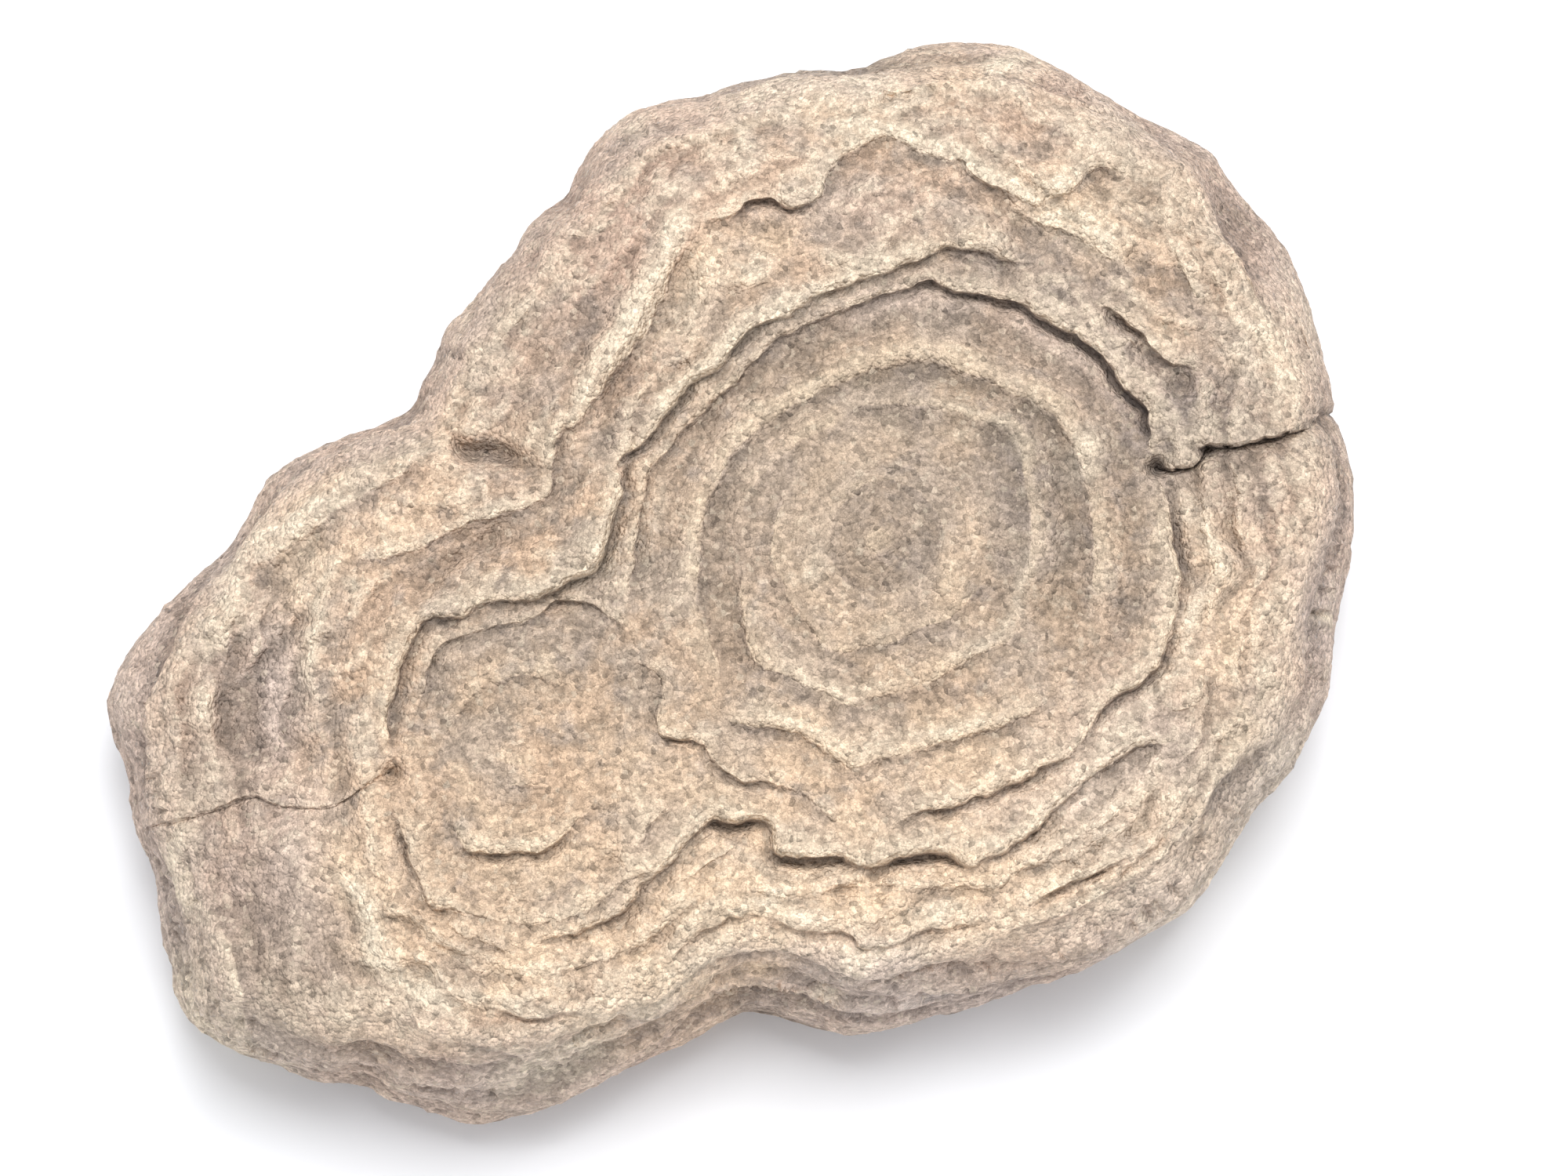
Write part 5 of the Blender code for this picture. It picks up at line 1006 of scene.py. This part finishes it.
def stone_net():
    """The whole stone as one closed net: its points in millimetres, the points' spots on the
    sheet, its faces, and what is on the rock at each point."""
    outline = smooth_line(OUTLINE, OUTLINE_STEP, closed=True)
    spots, triangles = top_net(inside_line(outline, BORDER_SHARE))
    places, marks = upper_place(spots, outline)
    faces = []
    for a, b, c in triangles:
        turn = np.cross(spots[b] - spots[a], spots[c] - spots[a])
        faces.append((a, b, c) if turn > 0 else (a, c, b))
    count = len(outline)
    all_places, all_spots = [places], [spots]
    all_marks = {name: [values] for name, values in marks.items()}
    above = list(range(count))
    total = len(places)
    for place, marks in side_rows(outline):
        all_places.append(place)
        all_spots.append(outline)
        for name, values in marks.items():
            all_marks[name].append(values)
        below = list(range(total, total + count))
        total += count
        for i in range(count):
            j = (i + 1) % count
            faces.append((above[i], above[j], below[j], below[i]))
        above = below
    foot = all_places[-1][:, :2]
    inner = fill_points(foot, [tuple(p) for p in foot], BASE_STEP, BASE_STEP / 2)
    corners = [Vector(p) for p in list(foot) + inner]
    edge = list(range(count))[::-1]
    found = delaunay_2d_cdt(corners, [], [edge], 1, BASE_MERGE_GAP)
    extra = np.array([tuple(p) for p in found[0]])[count:]
    dents = [max(0.0, noise.noise(Vector((x, y, 0.0)) / BASE_DENT_SIZE)) for x, y in extra]
    all_places.append(np.column_stack([extra, BASE_DENT * np.array(dents)]))
    all_spots.append(np.tile(outline.mean(axis=0), (len(extra), 1)))
    blank = {"lip": 0.0, "foot": 0.0, "gap": 0.0, "bands": BAND_REACH, "wall": 1.0}
    for name, value in blank.items():
        all_marks[name].append(np.full(len(extra), value))
    points = found[0]
    for a, b, c in found[2]:
        turn = (points[b] - points[a]).cross(points[c] - points[a])
        order = (a, c, b) if turn > 0 else (a, b, c)
        faces.append(tuple(above[i] if i < count else total + i - count for i in order))
    marks = {name: np.concatenate(values) for name, values in all_marks.items()}
    return np.vstack(all_places), np.vstack(all_spots), faces, marks


def side_rows(outline):
    """The rows of the side from the top's border down to the foot, with their marks."""
    for place, marks in upper_rows(outline):
        yield place, marks
    full = np.ones(len(outline))
    plain = {"lip": full * 0, "foot": full * 0, "gap": full * 0, "bands": full * BAND_REACH,
             "wall": full}
    for row in lower_rows(place, outline):
        yield row, plain


def add_stone_object():
    """The net as a mesh object at the origin, in metres, with the points' marks."""
    noise.seed_set(NOISE_SEED)
    places, spots, faces, marks = stone_net()
    data = bpy.data.meshes.new("fossil_stone")
    data.from_pydata((places * MM).tolist(), [], faces)
    data.update()
    stone = bpy.data.objects.new("fossil_stone", data)
    bpy.context.scene.collection.objects.link(stone)
    for name, patches, streaks in (("grey", GREY_PATCHES, GREY_STREAKS),
                                   ("pink", PINK_PATCHES, ()),
                                   ("mauve", MAUVE_PATCHES, ()),
                                   ("yellow", YELLOW_PATCHES, YELLOW_STREAKS),
                                   ("dark", DARK_PATCHES, DARK_STREAKS),
                                   ("pale", PALE_PATCHES, PALE_STREAKS)):
        marks[name] = np.maximum(cover(patches, spots), streaked(streaks, spots))
    marks["dome"] = cover(DOMES, spots)
    marks["wall"] = np.maximum(marks["wall"], cover(SIDE_PATCHES, spots))
    for name, values in marks.items():
        mark = data.attributes.new(name, "FLOAT", "POINT")
        mark.data.foreach_set("value", values.astype(np.float32))
    uneven = stone.vertex_groups.new(name=UNEVEN)
    evenness = (1 - DOME_EVENNESS * marks["dome"]) * (places[:, 2] > BASE_DENT)
    for level in range(1, UNEVEN_LEVELS + 1):
        points = np.flatnonzero(np.round(evenness * UNEVEN_LEVELS) == level)
        uneven.add(points.tolist(), level / UNEVEN_LEVELS, "REPLACE")
    return stone


def select_only(obj):
    """Makes an object the only one that is selected, and the active one."""
    bpy.ops.object.select_all(action="DESELECT")
    obj.select_set(True)
    bpy.context.view_layer.objects.active = obj


def roughen(stone, size, depth):
    """Moves the surface in and out along its normals by a cloudy pattern of the given size, as far
    as the stone's group of uneven points lets it."""
    pattern = bpy.data.textures.new("clouds_relief", "CLOUDS")
    pattern.noise_scale = size
    modifier = stone.modifiers.new("clouds", "DISPLACE")
    modifier.texture = pattern
    modifier.texture_coords = "LOCAL"
    modifier.strength = depth
    modifier.vertex_group = UNEVEN
    bpy.ops.object.modifier_apply(modifier=modifier.name)


def mark_relief(stone):
    """Marks how far each point stands out of the rock close by and further round it."""
    data = stone.data
    places, normals = (np.empty(len(data.vertices) * 3) for _ in range(2))
    data.vertices.foreach_get("co", places)
    data.vertices.foreach_get("normal", normals)
    places, normals = places.reshape(-1, 3) / MM, normals.reshape(-1, 3)
    edges = np.empty(len(data.edges) * 2, int)
    data.edges.foreach_get("vertices", edges)
    first, second = edges.reshape(-1, 2).T
    count = len(places)
    valence = np.bincount(first, minlength=count) + np.bincount(second, minlength=count)
    smooth = places.copy()
    for step in range(1, WIDE_PASSES + 1):
        for axis in range(3):
            sums = np.bincount(first, smooth[second, axis], count)
            sums += np.bincount(second, smooth[first, axis], count)
            smooth[:, axis] = (smooth[:, axis] + sums / valence) / 2
        if step in (NEAR_PASSES, WIDE_PASSES):
            name, full = ("near", NEAR_FULL) if step == NEAR_PASSES else ("wide", WIDE_FULL)
            out = ((places - smooth) * normals).sum(axis=1) / full
            mark = data.attributes.new(name, "FLOAT", "POINT")
            mark.data.foreach_set("value", np.clip(out, -1, 1).astype(np.float32))


def add_node(tree, kind, inputs=None, **settings):
    """A node with its settings, and its inputs given as values or as other nodes' outputs."""
    node = tree.nodes.new(kind)
    for name, value in settings.items():
        setattr(node, name, value)
    for key, value in (inputs or {}).items():
        if isinstance(value, bpy.types.NodeSocket):
            tree.links.new(value, node.inputs[key])
        else:
            node.inputs[key].default_value = value
    return node


def marked(tree, name):
    """The value that the stone's points carry under a name."""
    return add_node(tree, "ShaderNodeAttribute", attribute_name=name).outputs["Fac"]


def calculate(tree, operation, first, second, clamp=False):
    """The result of a calculation with two values."""
    node = add_node(tree, "ShaderNodeMath", {0: first, 1: second}, operation=operation)
    node.use_clamp = clamp
    return node.outputs[0]


def spread(tree, value, low, high, new_low=0.0, new_high=1.0):
    """A value between low and high, carried smoothly to the range between the new ones."""
    inputs = {"Value": value, "From Min": low, "From Max": high, "To Min": new_low, "To Max": new_high}
    return add_node(tree, "ShaderNodeMapRange", inputs, interpolation_type="SMOOTHSTEP").outputs[0]


def mix(tree, factor, first, second, blend="MIX"):
    """The first colour, with as much of the second one laid over it as the factor says."""
    node = add_node(tree, "ShaderNodeMix", {0: factor, 6: first, 7: second},
                    data_type="RGBA", blend_type=blend)
    return node.outputs[2]


def clouds(tree, coords, size, detail, rough):
    """Cloudy noise with features of the given size in metres."""
    inputs = {"Vector": coords, "Scale": 1 / size, "Detail": detail, "Roughness": rough}
    return add_node(tree, "ShaderNodeTexNoise", inputs).outputs["Fac"]


def grains(tree, coords, size):
    """Sand grains of the given size in metres: each one's own colour, and the way to its middle."""
    node = add_node(tree, "ShaderNodeTexVoronoi", {"Vector": coords, "Scale": 1 / size})
    return node.outputs["Color"], node.outputs["Distance"]


def stone_material(look):
    """Sandy layered rock: tan with paler lips and crests, partly a painted highlight, painted
    shade in hollows, crevices and at the foot of steps, and sand grains.
    """
    material = bpy.data.materials.new("layered_sandy_rock")
    material.use_nodes = True
    tree = material.node_tree
    shader = tree.nodes["Principled BSDF"]
    coords = add_node(tree, "ShaderNodeTexCoord").outputs["Object"]
    blotch = clouds(tree, coords, BLOTCH_SIZE, 4.0, 0.6)
    fleck = clouds(tree, coords, FLECK_SIZE, 3.0, 0.6)
    mottle = clouds(tree, coords, MOTTLE_SIZE, 4.0, 0.65)
    grain_colour, grain_middle = grains(tree, coords, look.grain_size)
    fine_colour, fine_middle = grains(tree, coords, look.grain_size * FINE_GRAIN_SHARE)
    parts = add_node(tree, "ShaderNodeSeparateColor", {0: grain_colour}).outputs
    fine_parts = add_node(tree, "ShaderNodeSeparateColor", {0: fine_colour}).outputs
    patchy = spread(tree, blotch, 0.3, 0.7, 0.45, 1.35)
    speckle = spread(tree, fleck, 0.35, 0.65, 0.6, 1.3)

    def patch(name, colour_below, colour, uneven):
        """Lays a colour over the one below where the rock is marked, unevenly."""
        cover_here = calculate(tree, "MULTIPLY", marked(tree, name), uneven, clamp=True)
        return mix(tree, cover_here, colour_below, colour)

    colour = mix(tree, spread(tree, blotch, 0.4, 0.6), (*look.tan, 1), (*look.tan_warm, 1))
    # The sides' browner colour, cooled a little as painted light bounced from the pale floor.
    colour = patch("wall", colour, (*look.side, 1), 0.7)
    colour = patch("pink", colour, (*look.pink, 1), patchy)
    colour = patch("mauve", colour, (*look.mauve, 1), patchy)
    colour = patch("yellow", colour, (*look.yellow, 1), patchy)
    # Greyer rock in the domes, partly painted shade below the back rim.
    colour = patch("grey", colour, (*look.grey, 1), patchy)
    # Darker stains of the rock, and painted shade in hollows and under lumps and ledges.
    colour = patch("dark", colour, (*look.dark, 1), speckle)
    even = calculate(tree, "MAXIMUM", marked(tree, "wall"), marked(tree, "yellow"))
    even = spread(tree, even, 0.0, 1.0, 1.0, 0.4)
    whitish = spread(tree, mottle, 0.55, 0.7, 0.0, 0.32)
    colour = mix(tree, whitish, colour, (*look.pale, 1))
    brownish = calculate(tree, "MULTIPLY", spread(tree, mottle, 0.3, 0.46, 0.36, 0.0), even)
    colour = mix(tree, brownish, colour, (*look.dark, 1))
    # Broad crests and the lips of steps are painted paler: partly paler rock, partly a painted highlight.
    crest_colour = mix(tree, marked(tree, "dome"), (*look.pale, 1), (*look.dome_crest, 1))
    crest = spread(tree, marked(tree, "wide"), 0.25, 1.0, 0.0, 0.4)
    crest = calculate(tree, "MULTIPLY", crest, speckle)
    crest = calculate(tree, "MULTIPLY", crest, spread(tree, marked(tree, "wall"), 0.0, 1.0, 1.0, 0.25))
    colour = mix(tree, crest, colour, crest_colour)
    lip = calculate(tree, "MULTIPLY", marked(tree, "lip"), spread(tree, fleck, 0.3, 0.7, 0.2, 0.7))
    colour = mix(tree, lip, colour, crest_colour)
    # Painted shade below each step, at the foot of its ledge.
    colour = patch("foot", colour, (*look.dark, 1), spread(tree, fleck, 0.3, 0.7, 0.2, 0.55))
    colour = patch("pale", colour, (*look.pale, 1), speckle)

    stripes_along = calculate(tree, "ADD", marked(tree, "bands"),
                              calculate(tree, "MULTIPLY", blotch, STRIPE_WANDER))
    stripes = add_node(tree, "ShaderNodeTexNoise",
                       {"W": stripes_along, "Scale": STRIPE_SCALE, "Detail": 3.0, "Roughness": 0.7},
                       noise_dimensions="1D").outputs["Fac"]
    tone = spread(tree, stripes, 0.3, 0.7, 0.92, 1.07)
    # Painted shade in broad hollows.
    hollow = spread(tree, marked(tree, "wide"), -0.9, 0.1, 0.8, 1.0)
    tone = calculate(tree, "MULTIPLY", tone, hollow)
    # Painted highlight on small bumps and painted shade in small dips, by how far a point stands out.
    worn = spread(tree, marked(tree, "near"), -0.8, 0.8, 0.88, 1.12)
    tone = calculate(tree, "MULTIPLY", tone, worn)
    shade = spread(tree, parts[0], 0.0, 1.0, 0.76, 1.13)
    tone = calculate(tree, "MULTIPLY", tone, shade)
    tone = calculate(tree, "MULTIPLY", tone, spread(tree, fine_parts[0], 0.0, 1.0, 0.86, 1.1))
    dust = spread(tree, parts[1], 0.9, 0.94, 1.0, 0.72)
    tone = calculate(tree, "MULTIPLY", tone, dust)
    grey_tone = add_node(tree, "ShaderNodeCombineColor", {0: tone, 1: tone, 2: tone}).outputs[0]
    colour = mix(tree, 1.0, colour, grey_tone, "MULTIPLY")
    white_grain = spread(tree, parts[2], 0.94, 0.97, 0.0, 0.3)
    colour = mix(tree, white_grain, colour, (*look.pale, 1))
    # Painted shade deep in the crevices, the cracks and the crack's hole.
    colour = patch("gap", colour, (*look.gap, 1), 0.55)
    tree.links.new(colour, shader.inputs["Base Color"])

    glint = spread(tree, fine_parts[1], 0.955, 0.965, look.roughness, 0.3)
    tree.links.new(glint, shader.inputs["Roughness"])
    shader.inputs["Specular IOR Level"].default_value = 0.35

    height = calculate(tree, "MULTIPLY", grain_middle, -look.grain_relief)
    fine = calculate(tree, "MULTIPLY", fine_middle, -look.grain_relief * 0.5)
    height = calculate(tree, "ADD", height, fine)
    for pattern, relief in ((fleck, FLECK_RELIEF), (stripes, STRIPE_RELIEF)):
        height = calculate(tree, "ADD", height, calculate(tree, "MULTIPLY", pattern, relief))
    bump = add_node(tree, "ShaderNodeBump", {"Height": height, "Distance": 1.0, "Strength": 1.0})
    tree.links.new(bump.outputs[0], shader.inputs["Normal"])
    return material


def plain_material(name, colour, roughness):
    """A material of one colour."""
    material = bpy.data.materials.new(name)
    material.use_nodes = True
    shader = material.node_tree.nodes["Principled BSDF"]
    shader.inputs["Base Color"].default_value = (*colour, 1)
    shader.inputs["Roughness"].default_value = roughness
    return material


def colour_property(name, description, default):
    """A setting that is a colour."""
    return FloatVectorProperty(name=name, description=description, default=default,
                               subtype="COLOR", size=3, min=0.0, max=1.0)


class StoneLook(bpy.types.PropertyGroup):
    """The colours and the sand of the stone."""

    tan: colour_property("Tan", "The rock's general colour", (0.54, 0.42, 0.325))
    tan_warm: colour_property("Warm tan", "The second colour of the general blotches", (0.70, 0.485, 0.33))
    # Side is the sides' browner colour, cooled a little as painted light bounced from the pale floor.
    side: colour_property("Side", "The browner colour of the stone's sides", (0.56, 0.435, 0.37))
    mauve: colour_property("Mauve", "The cool grey-pink of some of the rims", (0.64, 0.54, 0.49))
    pink: colour_property("Pink", "The pinkish brown of the outer layers", (0.60, 0.42, 0.325))
    yellow: colour_property("Yellow", "The yellower colour of the front layers", (0.92, 0.675, 0.465))
    # Grey is partly the domes' greyer rock and partly painted shade below the back rim.
    grey: colour_property("Grey", "The greyer colour inside the domes", (0.345, 0.275, 0.205))
    # Dark is both the rock's darker stain and the colour of painted shade in hollows and at the foot of
    # steps.
    dark: colour_property("Dark", "The stain in broad hollows", (0.29, 0.235, 0.21))
    # Pale and Dome crest are the rock's whitish colours, and also the painted highlight on lips and
    # crests.
    pale: colour_property("Pale", "The whitish colour of lips and crests", (0.84, 0.705, 0.54))
    dome_crest: colour_property("Dome crest", "The colour of crests inside the domes", (0.68, 0.53, 0.37))
    # Gap is the colour of the painted shade deep in crevices and cracks.
    gap: colour_property("Gap", "The colour deep in the gaps", (0.17, 0.145, 0.14))
    roughness: FloatProperty(name="Roughness", description="How matt the rock is", default=0.9,
                             min=0.0, max=1.0, subtype="FACTOR")
    grain_size: FloatProperty(name="Grain size", description="The width of a sand grain",
                              default=0.0009, min=0.0002, max=0.003, unit="LENGTH")
    grain_relief: FloatProperty(name="Grain relief", description="How far a grain stands up",
                                default=0.0007, min=0.0, max=0.002, unit="LENGTH")
    lump_relief: FloatProperty(name="Lump relief", description="The height of small lumps and pits",
                               default=0.0011, min=0.0, max=0.003, unit="LENGTH")


class StageLook(bpy.types.PropertyGroup):
    """The floor, the lights and the distance of the camera."""

    floor: colour_property("Floor", "The colour of the plain floor", (0.89, 0.9, 0.925))
    air: colour_property("Air", "The colour of the light from all round", (0.965, 0.98, 1.0))
    floor_size: FloatProperty(name="Floor size", description="The side of the square floor",
                              default=6.0, min=1.0, max=50.0, unit="LENGTH")
    surround: FloatProperty(name="Surround", description="The strength of the light from all round",
                            default=0.8, min=0.0, max=5.0)
    lamp_power: FloatProperty(name="Lamp power", description="The power of the soft lamp above",
                              default=7.8, min=0.0, max=100.0, unit="POWER")
    lamp_size: FloatProperty(name="Lamp size", description="The side of the soft lamp",
                             default=0.5, min=0.05, max=5.0, unit="LENGTH")
    lens: FloatProperty(name="Lens", description="The focal length of the camera's lens",
                        default=80.0, min=20.0, max=300.0, unit="CAMERA")


class STROMATOLITE_OT_add_stone(bpy.types.Operator):
    """Adds the layered fossil stone in place of its plain solid"""

    bl_idname = "stromatolite.add_stone"
    bl_label = "Add stone"

    def execute(self, context):
        look = context.scene.stone_look
        stone = add_stone_object()
        select_only(stone)
        roughen(stone, LUMP_RELIEF_SIZE, look.lump_relief)
        roughen(stone, PIT_RELIEF_SIZE, look.lump_relief * PIT_SHARE)
        bpy.ops.object.shade_smooth_by_angle(angle=SHARPEST_BEND)
        mark_relief(stone)
        stone.data.materials.append(stone_material(look))
        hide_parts("stromatolite")
        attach(stone, "root")
        return {"FINISHED"}


class STROMATOLITE_OT_add_stage(bpy.types.Operator):
    """Adds a plain pale floor, soft studio light and the camera"""

    bl_idname = "stromatolite.add_stage"
    bl_label = "Add stage"

    def execute(self, context):
        look = context.scene.stage_look
        bpy.ops.object.select_all(action="DESELECT")
        bpy.ops.mesh.primitive_plane_add(size=look.floor_size)
        floor = context.object
        floor.name = "floor"
        floor.data.materials.append(plain_material("pale_floor", look.floor, 0.8))
        bpy.ops.world.new()
        world = bpy.data.worlds[-1]
        context.scene.world = world
        background = world.node_tree.nodes["Background"]
        background.inputs["Color"].default_value = (*look.air, 1)
        background.inputs["Strength"].default_value = look.surround
        aim_at = Vector((SHEET_CENTRE[0], SHEET_CENTRE[1], SHEET_LEVEL)) * MM
        bpy.ops.object.light_add(type="AREA", location=LAMP_PLACE)
        lamp = context.object
        lamp.data.energy = look.lamp_power
        lamp.data.size = look.lamp_size
        lamp.rotation_euler = (aim_at - lamp.location).to_track_quat("-Z", "Y").to_euler()
        away = Vector((0, -math.cos(EYE_ELEVATION), math.sin(EYE_ELEVATION)))
        bpy.ops.object.camera_add(location=aim_at + away * SHEET_DISTANCE * MM)
        camera = context.object
        camera.data.lens = look.lens
        camera.data.clip_start = NEAREST_SEEN
        camera.rotation_euler = (-away).to_track_quat("-Z", "Y").to_euler()
        context.scene.camera = camera
        context.scene.view_settings.view_transform = "Standard"
        return {"FINISHED"}


class STROMATOLITE_PT_panel(bpy.types.Panel):
    """Lists the operators and the settings of the stone and its stage"""

    bl_idname = "STROMATOLITE_PT_panel"
    bl_label = "Stromatolite"
    bl_space_type = "VIEW_3D"
    bl_region_type = "UI"
    bl_category = "Stromatolite"

    def draw(self, context):
        for look, operator in ((context.scene.stone_look, STROMATOLITE_OT_add_stone),
                               (context.scene.stage_look, STROMATOLITE_OT_add_stage)):
            box = self.layout.box()
            for name in look.__annotations__:
                box.prop(look, name)
            box.operator(operator.bl_idname)


CLASSES = (StoneLook, StageLook, STROMATOLITE_OT_add_stone, STROMATOLITE_OT_add_stage,
           STROMATOLITE_PT_panel)


def register():
    for cls in CLASSES:
        bpy.utils.register_class(cls)
    bpy.types.Scene.stone_look = PointerProperty(type=StoneLook)
    bpy.types.Scene.stage_look = PointerProperty(type=StageLook)


def unregister():
    del bpy.types.Scene.stage_look
    del bpy.types.Scene.stone_look
    for cls in reversed(CLASSES):
        bpy.utils.unregister_class(cls)


def main():
    """Builds the stone and its stage."""
    register()
    bpy.ops.stromatolite.add_stone()
    bpy.ops.stromatolite.add_stage()


if __name__ == "__main__":
    main()
